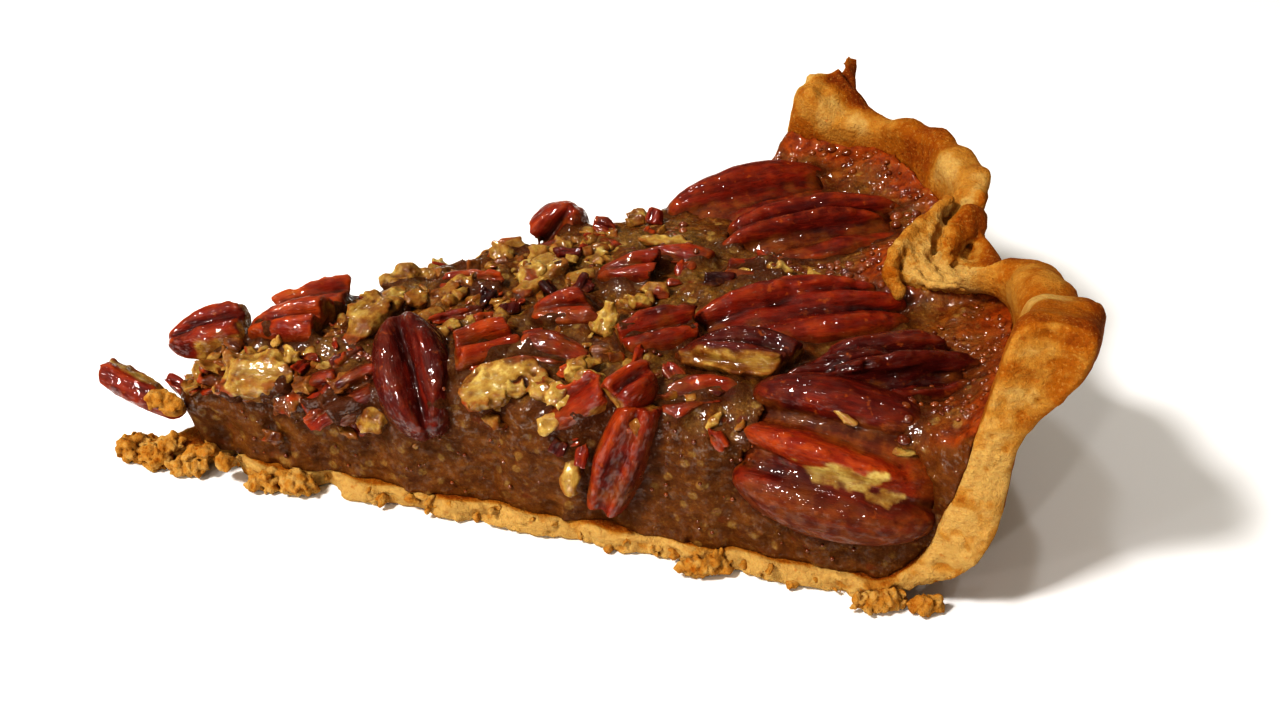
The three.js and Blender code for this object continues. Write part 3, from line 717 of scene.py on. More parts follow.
def pecan_material():
    m, p = new_material("pecan")
    n = Nodes(m)
    local = n.attr("local", True)
    tone, flesh, cave, tint = n.attr("tone"), n.attr("flesh"), n.attr("cave"), n.attr("tint")
    streak = n.noise(n.scaled(local, (0.16, 1.1, 1.1)), 1.0, 4, 0.6)
    blotch = n.noise(local, 0.28, 3, 0.6)
    base = n.ramp(
        n.math("ADD", n.math("ADD", n.math("MULTIPLY", tone, 0.8), n.math("MULTIPLY", n.math("SUBTRACT", streak, 0.5), 0.55)), n.math("MULTIPLY", n.math("SUBTRACT", n.noise(local, 0.17, 2, 0.5), 0.5), n.attr("vary"))),
        (0.0, (0.018, 0.001, 0.001)),
        (0.22, (0.060, 0.004, 0.002)),
        (0.48, (0.170, 0.014, 0.003)),
        (0.76, (0.310, 0.050, 0.005)),
        (0.90, (0.320, 0.080, 0.008)),
        (1.0, (0.380, 0.130, 0.018)),
    )
    base = n.mix(n.ramp(blotch, (0.45, 0.0), (0.75, 0.45)), base, (0.085, 0.008, 0.004))
    base = n.mix(n.ramp(n.noise(n.scaled(local, (0.7, 2.4, 2.4)), 1.0, 3, 0.65), (0.52, 0.0), (0.70, 0.55)), base, (0.050, 0.004, 0.001))
    base = n.mix(n.ramp(n.noise(local, 0.7, 3, 0.6), (0.60, 0.0), (0.75, 0.5)), base, (0.340, 0.085, 0.010))
    lit = n.math("MULTIPLY", n.ramp(n.attr("rise"), (0.15, 0.0), (0.80, 0.8)), n.ramp(n.noise(local, 0.45, 3, 0.6), (0.36, 0.0), (0.60, 1.0)))
    base = n.mix(n.math("MULTIPLY", lit, n.ramp(tone, (0.15, 0.1), (0.70, 0.75))), base, (0.330, 0.058, 0.005))
    # painted shade: the grooves and hollows of the skin go nearly black
    base = n.mix(n.math("MULTIPLY", cave, 0.85, True), base, (0.012, 0.001, 0.001))
    tan = n.ramp(
        n.math("ADD", n.noise(local, 0.50, 4, 0.65), n.math("MULTIPLY", n.math("SUBTRACT", tint, 0.5), 0.42)),
        (0.24, (0.085, 0.018, 0.002)),
        (0.38, (0.155, 0.050, 0.006)),
        (0.50, (0.250, 0.118, 0.020)),
        (0.62, (0.360, 0.215, 0.046)),
        (0.82, (0.540, 0.400, 0.125)),
    )
    tan = n.mix(n.ramp(n.noise(local, 0.30, 2, 0.5), (0.5, 0.0), (0.72, 0.55)), tan, (0.200, 0.062, 0.007))
    tan = n.mix(0.12, tan, (0.0, 0.0, 0.0))
    tan = n.mix(n.ramp(n.noise(local, 1.2, 3, 0.65), (0.58, 0.0), (0.74, 0.5)), tan, (0.150, 0.042, 0.005))
    # painted shade in the hollows of the broken flesh
    tan = n.mix(n.math("MULTIPLY", cave, 0.8, True), tan, (0.075, 0.018, 0.002))
    rims = n.ramp(n.attr("rise"), (0.25, 0.0), (0.85, 0.75))
    tan = n.mix(n.math("MULTIPLY", rims, n.ramp(n.noise(local, 0.6, 3, 0.6), (0.40, 0.0), (0.58, 1.0))), tan, (0.200, 0.060, 0.006))
    both = n.mix(flesh, base, tan)
    both = n.mix(n.math("MULTIPLY", n.attr("film"), 0.62), both, n.ramp(n.noise(local, 0.5, 3, 0.6), (0.35, (0.075, 0.016, 0.002)), (0.65, (0.180, 0.058, 0.008))))
    n.link(both, p.inputs["Base Color"])
    p.inputs["Roughness"].default_value = 0.5
    p.inputs["Specular IOR Level"].default_value = 0.12
    spots = n.ramp(n.noise(n.scaled(local, (0.7, 1.3, 1.3)), 1.0, 3, 0.6), (0.45, 0.06), (0.58, 1.0))
    n.link(n.math("MULTIPLY", spots, n.ramp(n.attr("wet"), (0.05, 0.42), (0.55, 1.0))), p.inputs["Coat Weight"])
    p.inputs["Coat IOR"].default_value = 1.6
    p.inputs["Coat Roughness"].default_value = 0.035
    p.inputs["Subsurface Weight"].default_value = 0.15
    p.inputs["Subsurface Radius"].default_value = (1.0, 0.35, 0.08)
    p.inputs["Subsurface Scale"].default_value = 0.0012
    fine = n.noise(n.scaled(local, (0.35, 1.6, 1.6)), 1.0, 4, 0.6)
    n.link(n.bump(fine, 0.00030, 0.6), p.inputs["Normal"])
    wet = n.attr("wet")
    tiny = n.math("MULTIPLY", n.noise(n.scaled(local, (1.3, 1.9, 1.9)), 1.0, 1, 0.5), n.math("ADD", n.math("ADD", wet, 0.25), n.math("MULTIPLY", flesh, 0.3)))
    soft = n.bump(n.noise(n.scaled(local, (0.6, 0.9, 0.9)), 1.0, 1, 0.5), 0.00042, 0.8)
    n.link(n.bump(tiny, 0.00013, 1.0, soft), p.inputs["Coat Normal"])
    return m


def filling_material():
    m, p = new_material("caramel_filling")
    n = Nodes(m)
    pool, cutface, shade, cave = n.attr("pool"), n.attr("cutface"), n.attr("shade"), n.attr("cave")
    mm = n.scaled(n.coord, (1000, 1000, 1000))
    big = n.noise(mm, 0.16, 3, 0.6)
    mid = n.noise(mm, 0.55, 4, 0.65, 0.6)
    fine = n.noise(mm, 1.9, 4, 0.7)
    brown = n.ramp(mid, (0.28, (0.035, 0.008, 0.001)), (0.5, (0.110, 0.032, 0.003)), (0.72, (0.240, 0.095, 0.011)))
    grey = n.ramp(fine, (0.3, (0.062, 0.030, 0.005)), (0.7, (0.210, 0.122, 0.026)))
    base = n.mix(n.ramp(big, (0.38, 0.0), (0.62, 0.65)), brown, grey)
    amber = n.ramp(mid, (0.3, (0.110, 0.014, 0.001)), (0.65, (0.260, 0.052, 0.004)))
    base = n.mix(pool, base, amber)
    streak = n.noise(n.scaled(mm, (0.35, 0.35, 0.6)), 1.0, 5, 0.7, 0.5)
    cutcol = n.ramp(streak, (0.28, (0.058, 0.015, 0.002)), (0.48, (0.098, 0.031, 0.004)), (0.60, (0.132, 0.047, 0.007)), (0.80, (0.215, 0.098, 0.020)))
    base = n.mix(n.math("MULTIPLY", cutface, 0.92), base, cutcol)
    grains = n.ramp(n.noise(mm, 1.5, 3, 0.7), (0.56, 0.0), (0.68, 0.55))
    dry = n.math("SUBTRACT", 1.0, n.math("ADD", n.math("MULTIPLY", pool, 0.85), n.math("MULTIPLY", cutface, 0.55)), True)
    base = n.mix(n.math("MULTIPLY", grains, dry), base, (0.300, 0.165, 0.045))
    flecks = n.math("MULTIPLY", n.ramp(n.voronoi(mm, 0.42), (0.22, 1.0), (0.34, 0.0)), n.ramp(n.noise(mm, 0.30, 2, 0.5), (0.42, 0.0), (0.52, 0.8)))
    base = n.mix(n.math("MULTIPLY", flecks, dry), base, n.ramp(fine, (0.35, (0.220, 0.110, 0.024)), (0.65, (0.400, 0.270, 0.080))))
    reds = n.math("MULTIPLY", n.ramp(n.voronoi(n.scaled(mm, (0.3, 0.5, 0.5)), 1.0), (0.20, 1.0), (0.30, 0.0)), n.ramp(n.noise(mm, 0.24, 2, 0.5), (0.50, 0.0), (0.58, 0.8)))
    base = n.mix(n.math("MULTIPLY", reds, dry), base, (0.120, 0.016, 0.002))
    base = n.mix(n.math("MULTIPLY", shade, 0.8, True), base, (0.045, 0.009, 0.002))
    # painted shade in the hollows of the filling
    base = n.mix(n.math("MULTIPLY", cave, 0.6, True), base, (0.050, 0.012, 0.002))
    n.link(base, p.inputs["Base Color"])
    p.inputs["Roughness"].default_value = 0.5
    p.inputs["Specular IOR Level"].default_value = 0.10
    spots = n.ramp(n.noise(mm, 1.0, 3, 0.65), (0.51, 0.02), (0.58, 1.0))
    low = n.math("MULTIPLY", cutface, n.math("SUBTRACT", 1.0, n.attr("brim")))
    n.link(n.math("MULTIPLY", spots, n.math("SUBTRACT", 1.0, n.math("MULTIPLY", low, 0.65))), p.inputs["Coat Weight"])
    p.inputs["Coat IOR"].default_value = 1.6
    p.inputs["Coat Roughness"].default_value = 0.025
    p.inputs["Subsurface Weight"].default_value = 0.2
    p.inputs["Subsurface Radius"].default_value = (1.0, 0.40, 0.12)
    p.inputs["Subsurface Scale"].default_value = 0.002
    nrm = n.bump(n.noise(mm, 1.3, 4, 0.65), 0.0004, 0.6)
    n.link(nrm, p.inputs["Normal"])
    beads = n.ramp(n.voronoi(mm, 0.9), (0.0, 1.0), (0.30, 0.0), smooth=True)
    patch = n.ramp(n.noise(mm, 0.22, 2, 0.5), (0.42, 0.15), (0.60, 1.0))
    tiny = n.math("MULTIPLY", n.noise(mm, 1.6, 1, 0.5), n.math("ADD", n.math("MULTIPLY", patch, 0.5), n.attr("brim")))
    soft = n.bump(n.noise(mm, 0.55, 2, 0.5), 0.0010, 0.8)
    soft = n.bump(beads, 0.0003, 0.6, soft)
    n.link(n.bump(tiny, 0.00020, 1.0, soft), p.inputs["Coat Normal"])
    return m


def crust_material(name="pie_crust", crumb=False):
    m, p = new_material(name)
    n = Nodes(m)
    mm = n.scaled(n.coord, (1000, 1000, 1000))
    big = n.noise(mm, 0.10, 3, 0.55)
    mid = n.noise(mm, 0.32, 4, 0.6)
    fine = n.noise(mm, 1.6, 4, 0.65)
    if crumb:
        cave, gold = n.attr("cave"), n.attr("gold")
        t = n.math("ADD", n.math("MULTIPLY", gold, 0.15), n.math("MULTIPLY", n.math("SUBTRACT", n.noise(mm, 0.8, 3, 0.6), 0.5), 1.3))
        # painted shade in the hollows between grains
        t = n.math("ADD", n.math("ADD", t, 0.12), n.math("MULTIPLY", cave, 0.28))
    else:
        brown, pale, torn, cave = n.attr("brown"), n.attr("pale"), n.attr("torn"), n.attr("cave")
        t = n.math("ADD", n.math("MULTIPLY", brown, 0.55), n.math("MULTIPLY", n.math("SUBTRACT", mid, 0.5), 0.75))
        t = n.math("ADD", t, n.math("MULTIPLY", n.math("SUBTRACT", big, 0.5), 0.5))
        t = n.math("SUBTRACT", t, n.math("MULTIPLY", pale, 0.55))
        # painted shade in creases and cracks, weaker on the torn fold
        t = n.math("ADD", t, n.math("MULTIPLY", n.math("MULTIPLY", cave, n.math("SUBTRACT", 1.0, n.math("MULTIPLY", torn, 0.75))), 0.30))
        t = n.math("ADD", t, n.math("MULTIPLY", n.math("MULTIPLY", torn, n.math("SUBTRACT", n.noise(mm, 1.3, 4, 0.7), 0.5)), 1.1))
        t = n.math("ADD", t, n.math("MULTIPLY", n.math("MULTIPLY", torn, n.math("SUBTRACT", n.noise(mm, 0.45, 3, 0.6), 0.5)), 0.9))
        t = n.math("ADD", t, 0.30)
    base = n.ramp(
        t,
        (0.0, (0.520, 0.325, 0.105)),
        (0.28, (0.430, 0.205, 0.036)),
        (0.50, (0.320, 0.106, 0.007)),
        (0.72, (0.225, 0.054, 0.003)),
        (1.0, (0.150, 0.027, 0.002)),
    )
    base = n.mix(n.ramp(n.noise(mm, 0.9, 2, 0.5), (0.66, 0.0), (0.78, 0.5)), base, (0.400, 0.110, 0.010))
    base = n.mix(n.ramp(fine, (0.3, 0.30), (0.6, 0.0)), base, (0.300, 0.095, 0.012))
    base = n.mix(n.ramp(n.noise(mm, 2.1, 3, 0.7), (0.52, 0.0), (0.70, 0.36)), base, (0.560, 0.340, 0.095))
    n.link(base, p.inputs["Base Color"])
    n.link(n.ramp(fine, (0.2, 0.60), (0.8, 0.90)), p.inputs["Roughness"])
    p.inputs["Subsurface Weight"].default_value = 0.12
    p.inputs["Subsurface Radius"].default_value = (1.0, 0.5, 0.2)
    p.inputs["Subsurface Scale"].default_value = 0.0012
    p.inputs["Specular IOR Level"].default_value = 0.06
    nrm = n.bump(n.noise(mm, 0.8, 5, 0.65), 0.0010, 0.6)
    nrm = n.bump(n.noise(mm, 2.2, 4, 0.7), 0.00045, 0.9, nrm)
    n.link(nrm, p.inputs["Normal"])
    return m


def bubble_material():
    m, p = new_material("glaze_bubble")
    n = Nodes(m)
    mm = n.scaled(n.coord, (1000, 1000, 1000))
    n.link(n.ramp(n.noise(mm, 0.35, 3, 0.6), (0.35, (0.090, 0.014, 0.002)), (0.65, (0.200, 0.050, 0.008))), p.inputs["Base Color"])
    p.inputs["Roughness"].default_value = 0.15
    p.inputs["Coat Weight"].default_value = 0.8
    p.inputs["Coat Roughness"].default_value = 0.03
    return m


PECAN = pecan_material()
FILLING = filling_material()
CRUST = crust_material()
CRUMB = crust_material("crumbs", True)
BUBBLE = bubble_material()


# ---------------------------------------------------------------- pecans, made
def curvature_hollow(pts, tris, quads, rounds=3):
    """How deep each vertex lies below its neighbours' average, in mm: grooves come out positive."""
    n = len(pts)
    e = [quads[:, [0, 1]], quads[:, [1, 2]], quads[:, [2, 3]], quads[:, [3, 0]]]
    if len(tris):
        e += [tris[:, [0, 1]], tris[:, [1, 2]], tris[:, [2, 0]]]
    e = np.concatenate(e)
    deg = np.bincount(e[:, 0], minlength=n) + np.bincount(e[:, 1], minlength=n)
    nor = normals(pts, tris, quads)
    avg = pts.copy()
    for _ in range(rounds):
        s = np.zeros_like(pts)
        for k in range(3):
            s[:, k] = np.bincount(e[:, 0], avg[e[:, 1], k], n) + np.bincount(e[:, 1], avg[e[:, 0], k], n)
        avg = s / np.maximum(deg, 1)[:, None]
    return ((avg - pts) * nor).sum(1)


def normals(pts, tris, quads):
    out = np.zeros_like(pts)
    for f in (quads, tris):
        if len(f):
            a, b, c = pts[f[:, 0]], pts[f[:, 1]], pts[f[:, 2]]
            nn = np.cross(b - a, c - a)
            for j in range(f.shape[1]):
                for k in range(3):
                    out[:, k] += np.bincount(f[:, j], nn[:, k], len(pts))
    return out / np.maximum(np.linalg.norm(out, axis=1, keepdims=True), 1e-12)


def sample(grid, F, pts):
    """The field at each point, from the nearest corner of its grid."""
    q = np.round((pts - grid.low) / grid.h).astype(int)
    out = ((q < 0) | (q >= np.array(F.shape))).any(1)
    q = np.clip(q, 0, np.array(F.shape) - 1)
    return np.where(out, 9.0, F[q[:, 0], q[:, 1], q[:, 2]])


# pale broken strips that lie on the half in the near cut: place along and across, length, width, turn
STRIPS = [
    (-0.12, -0.30, 5.6, 2.0, -0.06), (0.20, -0.31, 6.4, 2.4, 0.03), (0.48, -0.34, 5.0, 2.0, -0.12),
    (0.60, 0.26, 5.6, 1.6, 0.22), (0.86, 0.12, 4.6, 1.7, -0.30), (0.02, 0.34, 5.0, 1.1, -0.35),
]
on_top = []


def make_nuts(grid, bare):
    for name, nut, tone in nuts:
        h = 0.33 if nut.L * nut.W > 300 and not nut.broken else 0.27
        pts, tris, quads, local, flesh = nut.mesh(h)
        hollow = curvature_hollow(pts, tris, quads, 8)
        # depth in a hollow, used as painted shade in the grooves, and height on a ridge
        cave, rise = np.clip(hollow / 0.20, 0, 1), np.clip(-hollow / 0.22, 0, 1)
        if nut.flesh:
            flesh = 1 - 0.8 * smooth(noise(local[:, 0] + 9, local[:, 1], local[:, 2], 2.6, 404), 0.60, 0.80)
        if name == "piece_07":
            flesh = 0.15 * flesh
        if name in RIM:
            edge = max(nut.lo[1], -nut.W / 2) + RIM[name] - local[:, 1] + 0.5 * noise(*local.T, 1.6, 407)
            flesh = np.maximum(flesh, smooth(edge, 0, 0.5))
        if name == "pecan_half_5":
            for u, v, length, width, turn in STRIPS[:5]:
                dx, dy = local[:, 0] - u * nut.L / 2, local[:, 1] - v * nut.W / 2
                a, b = dx * math.cos(turn) + dy * math.sin(turn), dy * math.cos(turn) - dx * math.sin(turn)
                q = np.hypot(a / (0.62 * length), b / (0.60 * width)) + 0.45 * noise(*local.T, 1.7, 408) + 0.2 * noise(*local.T, 0.8, 409)
                flesh = np.maximum(flesh, 1 - smooth(q, 0.75, 1.05))
            for u, v, length, width, turn in STRIPS[3:]:
                d = np.hypot(local[:, 0] - u * nut.L / 2, local[:, 1] - v * nut.W / 2)
                k = np.argmax(np.where(d < 1.0, local[:, 2], -9))
                axis = nut.R @ np.array([math.cos(turn), math.sin(turn), 0])
                on_top.append(("P", tuple(pts[k] + 0.15 * nut.R[:, 2]), tuple(axis), tuple(nut.R[:, 2]), length, width))
        w = nut.world(local)
        film = 1 - smooth(sample(grid, bare, w) + 0.5 * noise(*w.T, 1.8, 405), 0.1, 1.3)
        if not name.startswith("pecan_half") and name not in ("piece_07", "piece_01"):
            film = np.maximum(film, 1 - smooth(sample(grid, bare, w) + 1.1 * noise(*w.T, 2.6, 410), 0.5, 2.6))
        if name == "pecan_half_5":
            film = np.maximum(film, 0.85 * smooth(-local[:, 1] / nut.W + 0.10 * noise(*w.T, 3.0, 406), 0.16, 0.34))
        s = Soup()
        vary = 0.30 if name.startswith("pecan_half") or name in ("piece_07", "piece_23") else 1.0
        s.add(pts, tris, quads, film=film, vary=vary, rise=rise, local=local + nut.seed * 31.7, flesh=flesh, tone=tone + nut.lobe_tone(local), cave=cave,
              tint=PALE.get(name, 0.5 + 0.25 * nut.r[8]), wet=nut.wet)
        s.object(name + "_look", PECAN, "pecan_flesh" if nut.flesh else "pecan_skin", name)


# ---------------------------------------------------------------- filling, made
def make_filling():
    h = 0.42
    g = Grid((1, -48, 2.2), (121, 48, 30), h)
    X, Y, Z = g.points()
    r = np.hypot(X, Y)
    t = np.degrees(np.arctan2(Y, X))
    top = fill_top(X[:, :, 0], Y[:, :, 0])[:, :, None]
    chopped = 1 - smooth(r, 66, 80)
    n2 = 0.30 * noise(X, Y, 0 * Z, 6.0, 201) + (0.26 + 0.3 * chopped) * noise(X, Y, Z, 2.6, 202) + 0.20 * noise(X, Y, Z, 1.2, 203)
    F = Z - top - n2
    sn, sf = along_near(X, Y), along_far(X, Y)
    face = 0.45 * noise(X, Y, Z, 4.0, 204) + 0.45 * (0.3 - np.abs(noise(X, Y, Z, 2.2, 205))) + 0.17 * noise(X, Y, Z, 1.2, 206)
    a = past_near(X, Y) - fill_edge_near(sn) - face - 0.03 * (Z - 12)
    a = a + 1.9 * np.exp(-(((sn - 97) / 13) ** 4)) * smooth(Z, 9, 13)
    b = past_far(X, Y) - fill_edge_far(sf) - face
    F = smax(F, a, 1.8)
    F = smax(F, b, 1.8)
    F = smax(F, 5.4 - X + 0.30 * np.maximum(0, 15 - Z) + 0.4 * face, 2.5)
    wall = r - (inner_wall(np.clip(t, -32, 32), Z) + 0.12)
    F = np.maximum(F, wall)
    F = np.maximum(F, FLOOR - 0.12 - Z)
    F = even(F, h)
    bare = F.copy()
    # the caramel climbs a little up each pecan
    for name, nut, tone in nuts:
        lo, hi = nut.box(2.0)
        w = g.window(lo, hi)
        x, y, z = g.part(w)
        if x.size == 0:
            continue
        D = even(nut.field(nut.local(x, y, z), False), h)
        above = z - top[w[0], w[1]]
        whole = name.startswith("pecan_half")
        off = (0.45 if whole else 0.75 if name in ("piece_23", "piece_01", "piece_21") else 0.35 if name == "piece_07" else 0.03) + (0.30 if whole else 0.20) * np.maximum(0, above - 0.6) + 0.35 * noise(x, y, z, 2.2, 207)
        keep = F[w]
        new = smin(keep, D + off, 0.9 if whole else 1.5)
        limit = np.maximum(wall[w], FLOOR - 0.12 - z)
        F[w] = np.maximum(new, limit)
        if name.startswith("pecan_half") or name == "piece_07":
            F[w] = smax(F[w], -(nut.hull(nut.local(x, y, z)) + 0.55), 0.4)
    pts, tris, quads = surface(F, g, 0.004)
    pts, tris, quads = biggest(pts, tris, quads, 400)
    x, y, z = pts.T
    rr = np.hypot(x, y)
    tt = np.degrees(np.arctan2(y, x))
    gap = inner_wall(np.clip(tt, -32, 32), z) - rr
    pool = np.exp(-np.maximum(0, gap - 1.5) / 5.0) * smooth(z, 14, 21)
    shade = np.zeros(len(pts))
    for name, nut, tone in nuts:
        lo, hi = nut.box(3.0)
        m = ((pts > lo) & (pts < hi)).all(1)
        if m.any():
            d = nut.field(nut.local(*pts[m].T), False)
            shade[m] = np.maximum(shade[m], np.exp(-np.maximum(0, d - 0.1) / 0.8))
    # how deep each spot lies in a hollow, for painted shade there
    cave = np.clip(curvature_hollow(pts, tris, quads, 6) / 0.25, 0, 1)
    pool = np.clip(pool + 0.35 * noise(x, y, z, 4.0, 210) * smooth(pool, 0.05, 0.3), 0, 1)
    cutface = np.maximum(
        smooth(past_near(x, y) - fill_edge_near(along_near(x, y)), -1.6, -0.6), smooth(past_far(x, y) - fill_edge_far(along_far(x, y)), -1.6, -0.6)
    )
    s = Soup()
    brim = cutface * smooth(z - fill_top(x, y), -6.5, -1.5)
    s.add(pts, tris, quads, pool=pool, cutface=cutface, brim=brim, shade=shade, cave=cave)
    s.object("filling_look", FILLING, "filling", "filling")
    return g, F, bare


# ---------------------------------------------------------------- crust, made
def ridge(x, y, z, points, r0, r1, flat=1.0):
    """Distance to a rounded strip along points (R, t, z); r0 and r1 are its half widths at the ends."""
    P = np.array([(R * math.cos(math.radians(t)), R * math.sin(math.radians(t)), q) for R, t, q in points])
    best = np.full(x.shape, 1e3, f32)
    n = len(P) - 1
    for i in range(n):
        a, b = P[i], P[i + 1]
        d = b - a
        dd = d @ d
        k = np.clip(((x - a[0]) * d[0] + (y - a[1]) * d[1] + (z - a[2]) * d[2]) / dd, 0, 1)
        ra = r0 + (r1 - r0) * (i + k) / n
        q = np.sqrt((x - a[0] - k * d[0]) ** 2 + (y - a[1] - k * d[1]) ** 2 + ((z - a[2] - k * d[2]) / flat) ** 2)
        best = np.minimum(best, q - ra)
    return best


def torn_fold(F, g):
    """The fold of the rim near its middle has cracked: two lips, a groove between them and flakes that hang."""
    w = g.window((98, -22, 20), (122, 12, 37))
    x, y, z = g.part(w)
    f = F[w]
    n1, n2 = noise(x, y, z, 2.6, 320), noise(x, y, z, 1.3, 321)
    rr, tt = np.hypot(x, y), np.degrees(np.arctan2(y, x))
    level = 28.8 + 6 * smooth(tt, 0.5, 4.0) + 6 * smooth(rr, 115, 120) + 6 * smooth(-tt, 6.5, 8.5)
    f = smax(f, z - level - 0.4 * n1, 1.0)
    left = ridge(x, y, z, [(114.3, 1.7, 32.2), (110.3, 0.2, 31.3), (107.0, -1.5, 30.6), (104.6, -3.4, 30.0), (103.7, -4.9, 29.0), (104.5, -6.1, 27.5)], 1.0, 1.1, 1.3)
    body = ridge(x, y, z, [(111.3, -0.4, 29.6), (108.1, -2.1, 29.0), (106.4, -3.4, 28.0), (108.0, -3.9, 28.0)], 2.2, 2.0, 1.0)
    crack = ridge(x, y, z, [(113.9, 0.8, 32.4), (112.1, -0.7, 31.2), (110.6, -2.4, 30.6), (109.9, -3.6, 29.8)], 0.65, 0.75, 1.7)
    second = ridge(x, y, z, [(116.7, -0.1, 31.8), (114.3, -1.2, 31.0), (112.1, -2.3, 30.2), (111.4, -2.9, 29.6)], 2.0, 2.2, 1.0)
    recess = ridge(x, y, z, [(113.2, -3.8, 30.4), (115.5, -3.2, 30.6), (117.0, -3.3, 31.4)], 0.8, 0.9, 1.2)
    flakes = np.minimum(ridge(x, y, z, [(107.1, -5.0, 28.6), (106.7, -5.1, 26.4), (106.6, -5.3, 25.2)], 1.0, 0.9, 1.0), ridge(x, y, z, [(108.9, -4.7, 28.6), (109.2, -5.5, 26.8), (109.4, -5.8, 25.2), (108.6, -6.3, 23.8)], 1.1, 0.5, 1.0))
    f = smin(f, body - 0.35 * n1 - 0.2 * n2, 0.8)
    f = smin(f, second - 0.35 * n1 - 0.25 * n2, 0.5)
    f = smin(f, left - 0.12 * n1 - 0.10 * n2, 0.7)
    f = smax(f, -(crack + 0.12 * n1 + 0.12 * n2), 0.35)
    f = smax(f, -(recess + 0.2 * n2), 0.4)
    f = smin(f, flakes - 0.25 * n1 - 0.35 * n2, 0.3)
    sponge = np.exp(-(((np.hypot(x, y) - 109) / 5.5) ** 2) - ((np.degrees(np.arctan2(y, x)) + 5.0) / 3.6) ** 2)
    f = f + sponge * (0.60 * (np.abs(noise(x, y, z, 1.5, 322)) - 0.3) + 0.22 * noise(x, y, z, 0.9, 325))
    F[w] = f
    return F


